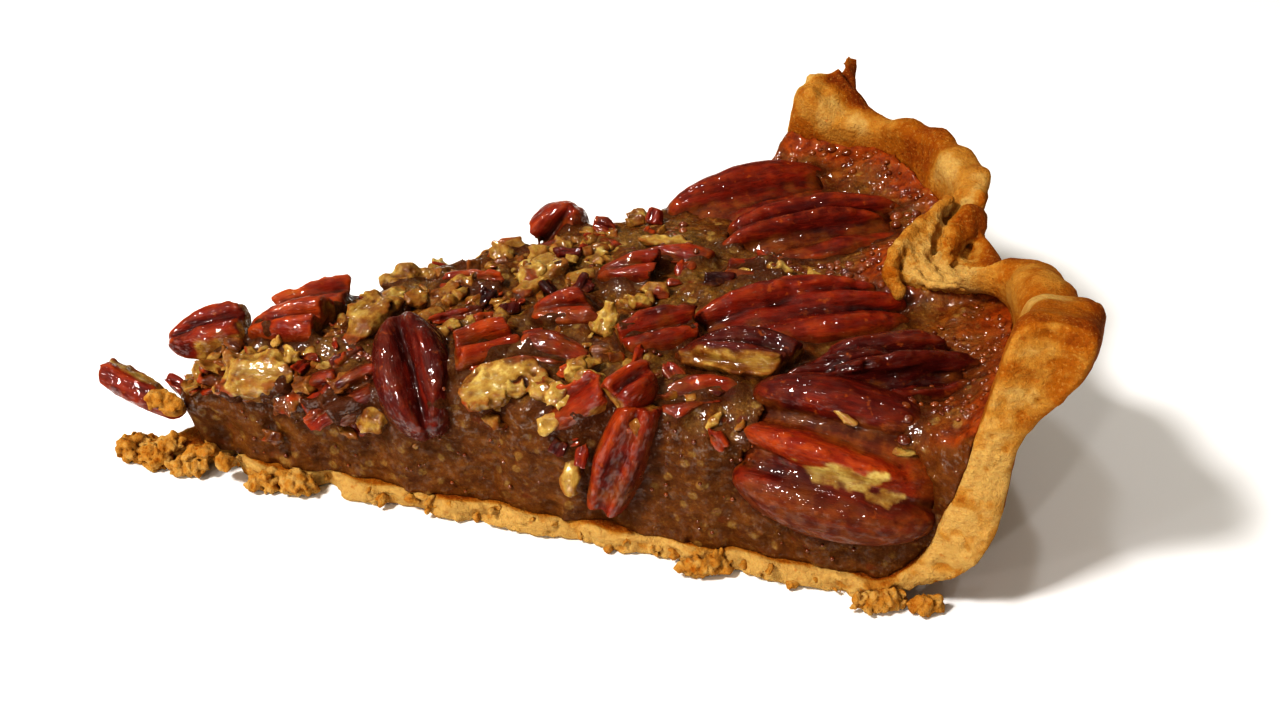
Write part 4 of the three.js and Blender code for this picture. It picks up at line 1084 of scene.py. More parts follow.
def make_crust():
    h = 0.43
    g = Grid((-4, -50, -0.6), (127, 50, 45), h)
    X, Y, Z = g.points()
    r = np.hypot(X, Y)
    t = np.degrees(np.arctan2(Y, X))
    tc = np.clip(t, -33, 31)
    lump = 0.38 * noise(X, Y, Z, 7.0, 301) + 0.08 * noise(X, Y, Z, 3.0, 302)
    # shallow folds down the inside of the crimp
    lump = lump + 0.40 * smooth(Z, 24, 29) * np.sin(np.radians(tc * 62 + 40 * np.sin(tc * 0.35))) * bump(r, 115, 5)
    out = r - outer_wall(tc, Z) - lump
    inn = inner_wall(tc, Z) - r - lump
    inn = np.where(Z > 1.0, inn, inn)
    solid_floor = Z - FLOOR
    inside = smin(inn, solid_floor, 1.5)
    top = Z - rim_top(tc) - 0.25 * noise(X, Y, 0 * Z, 4.0, 303)
    fold = np.exp(-(((r - 109.5) / 7.5) ** 2) - ((t + 3.5) / 4.6) ** 2)
    # jagged end of the rim at the far cut
    jag = smooth(t, 19.5, 21.5) * smooth(r, 104, 110)
    top = top - jag * (
        1.3 * noise(X, Y, 0 * Z, 2.2, 304)
        + 2.6 * bump(r, 121.6, 0.9) * bump(t, 22.6, 1.3)
        - 2.4 * bump(r, 117.6, 0.8)
    )
    even_out, even_in = even(out, h), even(inside, h)
    F = smax(even_out, even_in, 2.2)
    F = smax(F, top, 2.6)
    F = np.maximum(F, -Z)
    whole = F.copy()
    # the broad crest between the fold and the near cut
    w = g.window((98, -34, 22), (126, -10, 40))
    x, y, z = g.part(w)
    crest = ridge(x, y, z, [(110.0, -5.8, 30.2), (111.9, -6.3, 30.6), (114.1, -6.8, 30.9), (117.0, -7.6, 31.2), (120.0, -8.9, 31.8), (121.1, -11.9, 33.2)], 1.6, 3.4, 1.0)
    F[w] = smin(F[w], crest - 0.35 * noise(x, y, z, 4.0, 323) - 0.10 * noise(x, y, z, 1.2, 324), 2.6)
    whole = F.copy()
    F = torn_fold(F, g)
    sn, sf = along_near(X, Y), along_far(X, Y)
    rough = 0.28 * noise(X, Y, Z, 2.2, 305) + 0.42 * (np.abs(noise(X, Y, Z, (1.4, 1.4, 0.9), 306)) - 0.3)
    low = 1 - smooth(Z, 5, 9)
    a = past_near(X, Y) - crust_edge_near(sn) - rough * (0.5 + 1.0 * low)
    b = past_far(X, Y) - crust_edge_far(sf) - rough
    F = smax(F, a, 0.8)
    F = smax(F, b, 0.8)
    F = smax(F, -2.4 - X + rough, 0.8)
    # fine grain of the pastry
    band = near(F, 1.6)
    x, y, z = X[band], Y[band], Z[band]
    inner = 0.35 + smooth(-whole[band], 0.3, 1.2)
    F[band] += inner * (0.08 * noise(x, y, z, 1.6, 307) + 0.17 * noise(x, y, z, 0.9, 308))
    F = np.maximum(F, -Z)
    pts, tris, quads = surface(F, g, 0.004)
    pts, tris, quads = biggest(pts, tris, quads, 400)
    x, y, z = pts.T
    rr = np.hypot(x, y)
    tt = np.degrees(np.arctan2(y, x))
    nor = normals(pts, tris, quads)
    outer = smooth(rr - inner_wall(np.clip(tt, -33, 31), z), 3.0, 7.5)
    high = smooth(z, 24, 34)
    q = ((pts - g.low) / g.h).round().astype(int)
    q = np.clip(q, 0, np.array(whole.shape) - 1)
    depth = -whole[q[:, 0], q[:, 1], q[:, 2]]
    brown = 0.30 + 0.40 * outer * high + 0.25 * outer + 0.3 * noise(x, y, z, 9.0, 310)
    brown = np.clip(brown + 0.25 * (1 - smooth(depth, 0.1, 0.8)) * (1 - high), 0, 1)
    edge = np.maximum(past_near(x, y) - crust_edge_near(along_near(x, y)), past_far(x, y) - crust_edge_far(along_far(x, y)))
    cut = np.maximum(smooth(depth, 0.4, 1.3), smooth(edge, -1.1, -0.4))
    brown = brown * (1 - 0.6 * cut * (1 - high))
    pale = cut * (1 - 0.45 * smooth(z, 16, 34)) * (0.85 + 0.4 * noise(x, y, z, 3.0, 311) + 0.25 * noise(x, y, z, 1.0, 313))
    pale = np.clip(pale + 0.6 * high * smooth(noise(x, y, z, 8.0, 312), 0.2, 0.7) * (1 - outer), 0, 1)
    crest = smooth(-tt, 6.0, 7.0) * (1 - smooth(-tt, 10, 14)) * smooth(z, 26, 28) * (1 - smooth(rr, 110, 120))
    torn = np.exp(-(((rr - 109.0) / 6.0) ** 2) - ((tt + 4.5) / 4.8) ** 2) * smooth(z, 24, 27)
    s = Soup()
    pale = np.clip(pale + 0.62 * torn + 0.60 * crest, 0, 1)
    # how deep each spot lies in a crease, for painted shade there
    cave = np.clip(curvature_hollow(pts, tris, quads, 5) / 0.25, 0, 1)
    s.add(pts, tris, quads, brown=brown, pale=pale, torn=torn, cave=cave)
    return s.object("crust_look", CRUST, "crust", "crust")


# ---------------------------------------------------------------- small pecan bits
# kind (F flesh, Y pale flesh, O orange flesh, S skin, D dark skin, M skin and flesh), middle, long axis,
# the way the skin faces, length, width
BITS = [
    ('Y', (64.9, -9.2, 24.4), (0.25, 0.50, 0.83), (-0.10, -0.60, 0.70), 5.6, 3.2),
    ('F', (60.3, -19.3, 23.8), (0.90, 0.30, 0.20), (-0.10, -0.60, 0.80), 4.6, 3.2),
    ('F', (62.2, -22.4, 23.2), (0.80, -0.40, -0.10), (-0.20, -0.60, 0.80), 4.4, 3.0),
    ('Y', (57.6, -22.6, 22.4), (0.95, 0.10, 0.20), (-0.20, -0.70, 0.70), 4.2, 3.0),
    ('F', (72.7, -1.5, 24.0), (0.95, -0.30, 0.00), (0.00, -0.40, 0.80), 6.2, 2.0),
    ('Y', (56.6, 5.0, 23.6), (0.95, 0.25, 0.25), (-0.10, -0.60, 0.80), 6.2, 3.4),
    ('F', (70.4, -3.6, 23.8), (0.60, 0.70, 0.20), (0.00, -0.50, 0.80), 3.8, 2.6),
    ('F', (46.8, 5.8, 22.6), (0.90, -0.20, 0.10), (-0.10, -0.60, 0.80), 4.6, 2.8),
    ('F', (39.9, 3.2, 22.0), (0.80, 0.50, 0.10), (-0.10, -0.60, 0.80), 4.4, 3.0),
    ('O', (65.6, -17.4, 23.7), (0.90, -0.20, 0.10), (-0.10, -0.50, 0.80), 3.0, 2.0),
    ('Y', (90.2, 0.4, 24.4), (0.70, 0.60, 0.30), (-0.10, -0.60, 0.80), 4.4, 2.8),
    ('F', (60.8, 12.4, 23.6), (0.90, 0.30, 0.10), (-0.10, -0.60, 0.80), 5.0, 2.6),
    ('O', (30.4, -12.4, 19.2), (0.90, -0.20, 0.10), (-0.20, -0.60, 0.80), 4.0, 2.8),
    ('O', (25.6, -10.8, 18.0), (0.80, 0.30, 0.10), (-0.20, -0.60, 0.80), 3.8, 2.8),
    ('F', (38.9, 19.1, 17.3), (0.98, 0.16, 0.09), (0.05, -0.40, 0.81), 5.8, 1.9),
    ('F', (46.0, 21.8, 17.6), (0.99, -0.11, 0.00), (-0.21, -0.77, 0.74), 3.9, 3.0),
    ('M', (50.4, 6.2, 22.8), (0.98, -0.22, -0.04), (-0.15, -0.78, 0.57), 4.2, 2.5),
    ('F', (52.4, 13.2, 22.3), (0.95, 0.27, 0.18), (0.15, -0.47, 0.67), 3.8, 3.5),
    ('O', (48.7, 23.8, 18.1), (0.79, 0.40, 0.46), (-0.13, -0.31, 1.00), 3.4, 3.0),
    ('O', (53.1, 23.1, 18.9), (0.89, 0.30, 0.35), (0.07, -0.60, 0.80), 3.7, 3.0),
    ('F', (57.9, 12.4, 23.0), (1.00, 0.00, 0.04), (-0.01, -0.77, 0.83), 4.6, 2.3),
    ('O', (57.6, 9.8, 22.8), (0.99, -0.11, 0.00), (-0.21, -0.36, 0.58), 4.0, 1.6),
    ('O', (64.2, 10.9, 23.3), (0.99, -0.11, 0.00), (-0.01, -0.36, 0.66), 3.4, 1.9),
    ('F', (72.7, -1.2, 23.4), (0.82, -0.57, -0.05), (0.10, -0.36, 0.56), 6.2, 1.2),
    ('D', (50.0, 0.5, 22.8), (0.65, 0.63, 0.43), (0.00, -0.80, 0.80), 3.5, 3.0),
    ('D', (52.4, -2.7, 22.7), (0.22, 0.80, 0.56), (-0.13, -0.70, 0.71), 2.3, 2.7),
    ('S', (44.5, -2.3, 21.8), (0.98, 0.20, 0.05), (0.05, -0.64, 0.62), 5.9, 1.6),
    ('F', (42.1, -0.5, 21.7), (0.83, 0.53, 0.18), (-0.00, -0.58, 0.95), 3.9, 1.9),
    ('F', (42.9, -6.5, 22.0), (0.99, -0.11, 0.00), (-0.23, -0.64, 0.95), 2.7, 2.4),
    ('F', (64.4, -9.4, 24.5), (0.23, 0.51, 0.83), (-0.10, -0.55, 0.67), 2.6, 4.4),
    ('F', (62.3, -13.2, 23.1), (0.99, -0.11, 0.00), (-0.34, -0.33, 0.59), 1.7, 1.7),
    ('F', (62.3, -18.4, 23.7), (1.00, -0.04, 0.02), (0.07, -0.62, 1.03), 4.3, 1.7),
    ('O', (64.2, -15.0, 23.5), (0.99, -0.11, 0.00), (-0.15, -0.33, 0.83), 3.0, 2.6),
    ('M', (60.2, -19.1, 23.1), (1.00, 0.00, 0.03), (-0.01, -0.57, 0.66), 4.6, 1.9),
    ('Y', (52.5, -20.0, 21.4), (1.00, 0.05, 0.06), (-0.03, -0.75, 0.90), 4.6, 2.3),
    ('F', (56.3, -21.2, 21.7), (0.99, -0.11, 0.00), (-0.03, -0.61, 0.95), 3.8, 3.3),
    ('F', (47.6, -19.2, 20.1), (0.92, 0.32, 0.22), (-0.25, -0.60, 0.95), 4.7, 2.6),
    ('F', (60.4, -22.8, 22.0), (0.94, 0.31, 0.16), (-0.16, -0.44, 0.86), 7.5, 1.9),
    ('M', (61.0, -26.4, 20.9), (0.38, 0.42, 0.82), (-0.08, -0.45, 0.66), 3.2, 4.2),
    ('O', (67.4, -29.3, 23.2), (0.79, 0.04, 0.61), (-0.15, -0.87, 0.66), 3.3, 2.4),
    ('S', (70.7, -30.6, 18.7), (0.96, -0.28, 0.00), (-0.13, -0.75, 0.58), 5.0, 2.0),
    ('O', (74.1, -32.0, 22.0), (0.83, -0.36, -0.42), (-0.31, -0.47, 0.46), 2.7, 1.8),
    ('Y', (76.0, -32.9, 17.2), (0.32, 0.49, 0.81), (-0.35, -0.95, 0.51), 1.6, 3.2),
    ('F', (54.7, -23.8, 15.2), (0.56, -0.49, -0.66), (-0.23, -0.48, 0.76), 5.9, 2.5),
    ('S', (53.7, -23.5, 13.7), (0.52, -0.51, -0.69), (-0.39, -0.46, 0.39), 6.4, 1.2),
    ('F', (59.3, -25.7, 12.1), (0.20, 0.52, 0.83), (-0.14, -0.87, 0.50), 6.6, 2.3),
    ('S', (60.5, -26.2, 14.8), (0.23, 0.51, 0.83), (-0.51, -0.52, 0.71), 3.5, 1.4),
    ('O', (50.6, -21.8, 19.4), (0.79, -0.38, -0.48), (-0.48, -0.69, 0.43), 2.8, 1.6),
    ('D', (57.6, -24.8, 15.4), (0.51, 0.19, 0.84), (-0.30, -0.67, 0.35), 2.1, 2.3),
    ('F', (56.4, -24.4, 19.7), (0.94, -0.15, 0.31), (-0.12, -0.81, 0.52), 4.4, 2.3),
    ('M', (22.6, 13.4, 17.4), (0.89, 0.30, 0.35), (-0.32, -0.80, 0.65), 4.5, 3.2),
    ('S', (26.9, 12.6, 17.0), (0.97, 0.18, 0.13), (-0.18, -0.34, 0.99), 6.8, 2.9),
    ('O', (29.0, 18.2, 17.6), (0.85, -0.46, -0.26), (-0.11, -0.57, 0.88), 6.1, 3.6),
    ('F', (34.0, 16.7, 16.8), (0.99, 0.14, 0.06), (0.08, -0.63, 0.95), 7.5, 3.0),
    ('F', (36.9, 4.8, 21.0), (0.93, 0.36, 0.12), (-0.15, -0.50, 0.92), 4.5, 3.1),
    ('F', (20.7, -5.1, 18.3), (0.89, -0.42, -0.18), (-0.10, -0.45, 0.90), 5.0, 3.6),
    ('Y', (22.9, -5.9, 19.1), (0.80, -0.54, -0.26), (-0.35, -0.78, 0.62), 3.4, 2.7),
    ('F', (13.0, -0.7, 18.2), (0.83, 0.37, 0.42), (-0.24, -0.70, 0.57), 5.7, 1.0),
    ('O', (15.7, -0.9, 19.1), (0.90, -0.36, -0.23), (-0.24, -0.50, 0.99), 2.8, 1.8),
    ('O', (11.8, -1.6, 16.6), (0.95, 0.27, 0.18), (-0.18, -0.62, 0.76), 1.7, 1.3),
    ('O', (23.1, -10.0, 16.3), (0.92, -0.07, 0.39), (-0.21, -0.56, 0.77), 6.0, 4.3),
    ('M', (29.4, -13.0, 16.2), (0.82, 0.08, 0.57), (-0.36, -0.60, 0.47), 8.4, 2.7),
    ('O', (19.9, -8.8, 8.6), (0.97, -0.23, 0.00), (-0.14, -0.83, 0.74), 3.3, 2.2),
    ('F', (33.6, -14.5, 14.9), (0.95, -0.28, -0.15), (-0.30, -0.59, 0.57), 4.8, 4.0),
    ('D', (30.6, -8.3, 19.5), (0.83, 0.53, 0.18), (-0.19, -0.55, 0.58), 5.3, 2.4),
    ('S', (36.5, 18.3, 17.4), (0.99, -0.11, 0.00), (-0.33, -0.54, 0.79), 3.0, 1.9),
    ('F', (40.2, 19.7, 17.3), (0.98, 0.16, 0.09), (0.07, -0.79, 0.83), 4.9, 2.5),
    ('D', (43.2, 22.4, 17.6), (0.84, 0.49, 0.23), (-0.10, -0.50, 0.91), 1.8, 1.4),
    ('O', (68.6, 30.6, 18.5), (0.55, 0.56, 0.62), (-0.09, -0.52, 0.80), 2.5, 2.2),
    ('O', (72.1, 21.1, 22.8), (1.00, 0.00, 0.04), (-0.04, -0.68, 0.83), 4.2, 1.9),
    ('S', (75.6, 21.6, 23.5), (0.40, 0.47, 0.79), (-0.01, -0.70, 1.05), 2.7, 3.3),
    ('F', (75.7, 11.9, 24.2), (0.99, -0.11, 0.00), (0.02, -0.32, 0.70), 8.9, 1.6),
    ('F', (75.6, 16.1, 23.4), (0.52, 0.75, 0.41), (-0.13, -0.67, 0.57), 2.3, 1.6),
    ('S', (77.7, 4.4, 23.2), (0.25, 0.93, 0.27), (-0.34, -0.68, 0.98), 3.7, 2.8),
    ('S', (75.7, 0.6, 23.5), (0.99, -0.11, 0.00), (-0.27, -0.46, 0.67), 2.2, 1.1),
    ('D', (81.5, -0.3, 24.1), (0.99, -0.11, 0.00), (-0.32, -0.70, 0.89), 4.4, 1.9),
    ('Y', (85.0, 1.1, 24.0), (0.41, 0.80, 0.44), (-0.10, -0.53, 0.78), 3.0, 3.5),
    ('S', (89.8, 1.5, 24.0), (0.43, -0.89, -0.12), (-0.21, -0.56, 1.01), 11.7, 1.7),
    ('O', (91.5, -2.0, 24.1), (0.46, -0.88, -0.11), (-0.25, -0.43, 0.68), 7.1, 1.4),
    ('F', (94.6, -2.8, 24.4), (0.61, -0.79, -0.09), (-0.25, -0.64, 0.60), 5.6, 2.5),
    ('F', (65.4, 18.9, 22.4), (0.99, -0.11, 0.00), (0.12, -0.62, 0.64), 3.0, 1.5),
    ('S', (68.1, 18.7, 23.0), (0.90, -0.42, -0.11), (-0.35, -0.77, 0.66), 3.9, 2.4),
    ('O', (61.5, 27.7, 17.8), (0.52, 0.70, 0.49), (-0.14, -0.50, 1.04), 2.6, 2.8),
    ('F', (30.6, -13.2, 11.6), (0.95, -0.28, -0.15), (-0.10, -0.83, 0.61), 3.5, 1.6),
    ('O', (40.1, -17.3, 15.7), (0.97, -0.23, 0.00), (-0.09, -0.90, 0.73), 2.4, 1.6),
    ('F', (49.7, -21.5, 17.5), (0.90, -0.32, -0.29), (-0.35, -0.56, 0.46), 3.8, 1.8),
    ('F', (66.3, -28.5, 20.7), (0.97, -0.25, 0.00), (-0.24, -0.70, 0.35), 2.5, 1.5),
    ('F', (71.4, -25.7, 22.9), (0.94, -0.33, -0.06), (0.03, -0.39, 0.79), 4.3, 2.7),
    ('D', (77.2, -26.1, 23.9), (0.99, -0.11, 0.00), (-0.16, -0.33, 0.74), 3.2, 2.0),
    ('F', (74.4, -27.0, 23.0), (0.99, -0.11, 0.00), (0.09, -0.59, 0.74), 2.7, 1.5),
    ('Y', (76.7, -30.2, 22.0), (0.78, 0.59, 0.23), (-0.17, -0.77, 0.69), 3.5, 1.4),
    ('F', (79.5, -31.5, 21.9), (0.86, 0.49, 0.13), (-0.24, -0.77, 0.82), 1.9, 1.0),
    ('F', (71.5, -3.3, 23.5), (0.99, -0.11, 0.00), (-0.13, -0.79, 0.63), 2.4, 1.6),
    ('F', (61.0, -1.5, 23.1), (0.99, -0.11, 0.00), (0.11, -0.73, 0.74), 2.7, 2.2),
    ('D', (63.3, 2.1, 23.2), (0.51, 0.76, 0.41), (0.13, -0.74, 0.75), 2.8, 2.2),
    ('F', (46.1, 5.1, 21.8), (0.93, 0.36, 0.12), (0.05, -0.79, 0.58), 3.8, 2.2),
    ('D', (48.0, -1.4, 22.0), (0.93, 0.35, 0.12), (0.11, -0.46, 0.68), 3.5, 1.9),
    ('F', (38.5, 4.3, 21.1), (0.99, -0.11, 0.00), (-0.11, -0.68, 1.00), 3.1, 2.0),
    ('F', (48.2, -10.0, 22.1), (0.20, 0.86, 0.47), (0.12, -0.76, 0.81), 2.4, 2.6),
    ('S', (47.1, -14.3, 21.9), (0.49, 0.77, 0.41), (-0.26, -0.60, 0.92), 2.1, 2.9),
]


TINT = {"P": 1.0, "F": 0.66, "Y": 1.0, "O": 0.22, "S": 0.4, "D": 0.3, "M": 0.45}
SKIN = {"P": 0.6, "F": 0.5, "Y": 0.5, "O": 0.8, "S": 0.50, "D": 0.20, "M": 0.62}


def add_bit(soup, kind, at, axis, face, length, width, thick, seed, h):
    rng = np.random.default_rng(seed)
    x = np.array(axis, float)
    x /= np.linalg.norm(x)
    z = np.array(face, float)
    z -= x * (x @ z)
    z /= np.linalg.norm(z)
    R = np.stack([x, np.cross(z, x), z], 1)
    half = np.array([length, width, thick]) / 2
    g = Grid(-half - 2 * h, half + 2 * h, h)
    X, Y, Z = g.points()
    small = float(min(half))
    skin = kind in "SDM"
    u = X / half[0]
    if skin:
        k = 2 if width < 4 else 3
        D = np.full(X.shape, 1e3, f32)
        for i in range(k):
            yc = (i - (k - 1) / 2) * 2 * half[1] / k * 0.92
            ra = half[1] / k * 1.15
            rb = half[2] * (1.35 if i == k // 2 else 1.2)
            q = np.sqrt(((Y - yc) / ra) ** 2 + ((Z + half[2] * 0.35) / rb) ** 2)
            D = smin(D, (q - 1) * min(ra, rb), 0.2)
        F = smax(D, (np.abs(u) ** 3 - 1) * half[0] * 0.5, 0.4)
    else:
        F = (np.sqrt(u**2 + (Y / half[1]) ** 2 + (Z / half[2]) ** 2) - 1) * small
    inside = -F
    n = rng.normal(size=(10, 3))
    n /= np.linalg.norm(n, axis=1, keepdims=True)
    for k in range(10):
        if skin and n[k, 2] > 0.2:
            n[k] *= -1
        reach = math.sqrt(((half * n[k]) ** 2).sum()) * rng.uniform(0.50, 0.90)
        F = smax(F, X * n[k, 0] + Y * n[k, 1] + Z * n[k, 2] - reach, 0.06)
    wx, wy, wz = X + at[0] * 3, Y + at[1] * 3, Z + seed
    amp = min(1.0, small)
    F = F + amp * (
        (0.52 if not skin else 0.16) * (np.abs(noise(wx, wy, wz, 1.3, 401)) - 0.3)
        + (0.12 if not skin else 0.08) * noise(wx, wy, wz, 0.8, 402)
    )
    pts, tris, quads = surface(F, g, 0.06)
    if len(quads) + len(tris) < 12:
        return
    x, y, z = pts.T
    if kind in "SD":
        flesh = 1 - smooth(z + 0.25 * noise(x, y, z, 0.8, 403), -0.45 * half[2], -0.15 * half[2])
    elif kind == "M":
        flesh = 1 - smooth(z + 0.35 * noise(x, y, z, 0.8, 403), -0.10 * half[2], 0.25 * half[2])
    else:
        flesh = 1 - 0.85 * smooth(noise(x + seed, y, z, 2.0, 404), 0.62, 0.80)
    hollow = curvature_hollow(pts, tris, quads, 4)
    # depth in a hollow, used as painted shade, and height on a ridge
    cave, rise = np.clip(hollow / 0.20, 0, 1), np.clip(-hollow / 0.20, 0, 1)
    local = pts + rng.uniform(-90, 90, 3)
    at = np.array(at)
    w = pts @ R.T + at
    film = np.clip(1 - smooth(sample(fill_grid, fill_field, w) + 0.4 * noise(*w.T, 1.4, 405), -0.15, 0.55), 0, 1)
    soup.add(w, tris, quads, vary=1.0, rise=rise, local=local, flesh=flesh, cave=cave,
             tone=SKIN[kind] + rng.uniform(-0.1, 0.1), tint=float(np.clip(TINT[kind] + rng.uniform(-0.2, 0.2), 0, 1)), wet=rng.uniform(0.4, 0.9), film=film)


def make_bits(height):
    h = 0.29
    s = Soup()
    for i, (kind, at, axis, face, length, width) in enumerate(BITS):
        thick = max(1.3, min(width, length) * 0.62)
        top = height(at[0], at[1])
        if top < 5:
            continue
        at = (at[0], at[1], min(at[2], top + 0.50 * thick))
        add_bit(s, kind, at, axis, face, length * 1.18, width * 1.35, thick * 1.15, 500 + i, h)
    for i, (kind, at, axis, face, length, width) in enumerate(on_top):
        add_bit(s, kind, at, axis, face, length, width, max(1.0, 0.55 * width), 1600 + i, h)
    rng = np.random.default_rng(77)
    done = 0
    while done < (250):
        x = rng.uniform(8, 76)
        y = rng.uniform(-1, 1) * (x * math.tan(math.radians(HALF_ANGLE)) - 2.2)
        size = rng.choice([1.5, 2.2, 3.0, 4.0], p=[0.22, 0.33, 0.28, 0.17])
        if rng.random() > 1.0 - smooth(x, 64, 78) * 0.85:
            continue
        z = height(x, y) + rng.uniform(-0.40, 0.04) * size
        P = np.array([x, y, z])
        hit = False
        for name, nut, tone in nuts:
            lo, hi = nut.box(0.5)
            if (P > lo).all() and (P < hi).all():
                if nut.field(nut.local(*[np.array([v]) for v in P]), False)[0] < 0.25 * size:
                    hit = True
                    break
        if hit:
            continue
        kind = rng.choice(list("FYOSDM"), p=[0.38, 0.08, 0.22, 0.07, 0.07, 0.18])
        a = rng.uniform(0, 2 * math.pi)
        axis = (math.cos(a), math.sin(a), rng.uniform(-0.5, 0.5))
        face = (rng.uniform(-0.5, 0.5), rng.uniform(-0.8, 0.3), 1)
        add_bit(s, kind, P, axis, face, size * rng.uniform(1.3, 2.6), size * rng.uniform(0.7, 1.1), size * rng.uniform(0.36, 0.62), 900 + done, h)
        done += 1
    # a few in the near cut, under the surface
    for k in range(14):
        q = rng.uniform(22, 84)
        z = height(q * COS, -q * SIN + 3) - rng.uniform(1.5, 8.0)
        at = np.array([q * COS, -q * SIN, z]) + np.array([-SIN, -COS, 0]) * (fill_edge_near(q) - 0.60)
        a = rng.uniform(-0.9, 0.9)
        axis = np.array([COS, -SIN, 0]) * math.cos(a) + np.array([0, 0, 1]) * math.sin(a)
        size = rng.uniform(1.2, 2.4)
        add_bit(s, rng.choice(list("FOM")), at, axis, (-0.39, -0.9, 0.3), size * 1.6, size, size * 0.8, 1300 + k, h)
    return s.object("pecan_bits", PECAN, "pecan_flesh")


# ---------------------------------------------------------------- crumbs
# middle, half sizes, number of grains
CRUMBS = [
    ((-0.4, 0.6, 1.9), (3.2, 2.6, 2.0), 46),
    ((2.6, -2.2, 1.7), (2.6, 1.8, 1.8), 30),
    ((6.4, -4.2, 1.3), (2.6, 1.2, 1.3), 20),
    ((8.6, -5.2, 2.0), (1.6, 1.0, 1.6), 12),
    ((5.0, -5.0, 13.4), (1.3, 1.0, 1.0), 18),
    ((6.6, -5.6, 12.6), (1.3, 1.0, 1.7), 24),
    ((12.6, -6.6, 3.4), (1.4, 1.0, 1.4), 14),
    ((9.4, -4.2, 3.5), (2.4, 1.3, 1.2), 22),
    ((4.6, -1.6, 3.4), (2.2, 1.2, 1.0), 20),
    ((18.4, -9.0, 1.6), (2.8, 1.5, 1.6), 30),
    ((22.4, -10.6, 1.9), (2.8, 1.5, 1.9), 34),
    ((75.5, -33.4, 1.6), (4.0, 1.1, 1.5), 34),
    ((96.0, -42.4, 1.6), (4.2, 1.1, 1.6), 34),
    ((101.6, -43.6, 1.4), (2.4, 0.9, 1.3), 24),
    ((21.5, -1.6, 19.6), (1.1, 1.0, 0.8), 10),
]


def make_crumbs():
    h = 0.23
    s = Soup()
    rng = np.random.default_rng(31)
    groups = [(np.array(c, float), np.array(e, float), n) for c, e, n in CRUMBS]
    for q in np.arange(13, 103, 3.1):  # loose grains along the near edge of the floor crust
        q = q + rng.uniform(-0.8, 0.8)
        c = np.array([q * COS, -q * SIN, rng.uniform(0.5, 3.0)]) + np.array([-SIN, -COS, 0]) * (crust_edge_near(q) + rng.uniform(-0.3, 0.3))
        groups.append((c, rng.uniform(0.3, 0.8, 3), int(rng.integers(1, 5))))
    for q in np.arange(22, 112, 4.0):
        q = q + rng.uniform(-1.5, 1.5)
        c = np.array([q * COS, q * SIN, rng.uniform(0.5, 2.6)]) + np.array([-SIN, COS, 0]) * (crust_edge_far(q) + rng.uniform(-0.3, 0.2))
        groups.append((c, rng.uniform(0.35, 0.9, 3), int(rng.integers(2, 5))))
    for c, e, n in groups:
        g = Grid(c - e - 1.2, c + e + 1.2, h)
        X, Y, Z = g.points()
        F = np.full(X.shape, 5.0, f32)
        for _ in range(int(n * 5.0)):
            d = rng.normal(size=3)
            d = d / np.linalg.norm(d) * rng.random() ** (1 / 3) * e * 0.9
            q = c + d
            r = rng.choice([0.26, 0.38, 0.55, 0.80], p=[0.32, 0.36, 0.22, 0.10]) * min(1, 0.5 + min(e) / 2)
            q[2] = max(q[2], 0.35 * r)
            w = g.window(q - r * 1.9, q + r * 1.9)
            x, y, z = g.part(w)
            k = rng.uniform(0.75, 1.3, 3)
            m = rng.uniform(-1, 1, 3)
            dx, dy, dz = (x - q[0]) / k[0], (y - q[1]) / k[1], (z - q[2]) / k[2]
            dx, dy, dz = dx + m[0] * dy * 0.6, dy + m[1] * dz * 0.6, dz + m[2] * dx * 0.6
            D = (np.abs(dx) ** 1.25 + np.abs(dy) ** 1.25 + np.abs(dz) ** 1.25) ** 0.8 * 0.85 - r
            F[w] = smin(F[w], D, 0.06)
        F = F + 0.16 * noise(X, Y, Z, 0.75, 451)
        F = np.maximum(F, -Z + 0.02)
        pts, tris, quads = surface(F, g, 0.01)
        if len(quads) + len(tris) < 10:
            continue
        # hollows between the grains, for painted shade
        cave = np.clip(curvature_hollow(pts, tris, quads, 3) / 0.18, 0, 1)
        s.add(pts, tris, quads, cave=cave, gold=rng.uniform(0, 1))
    return s.object("crust_crumbs", CRUMB, "crust")


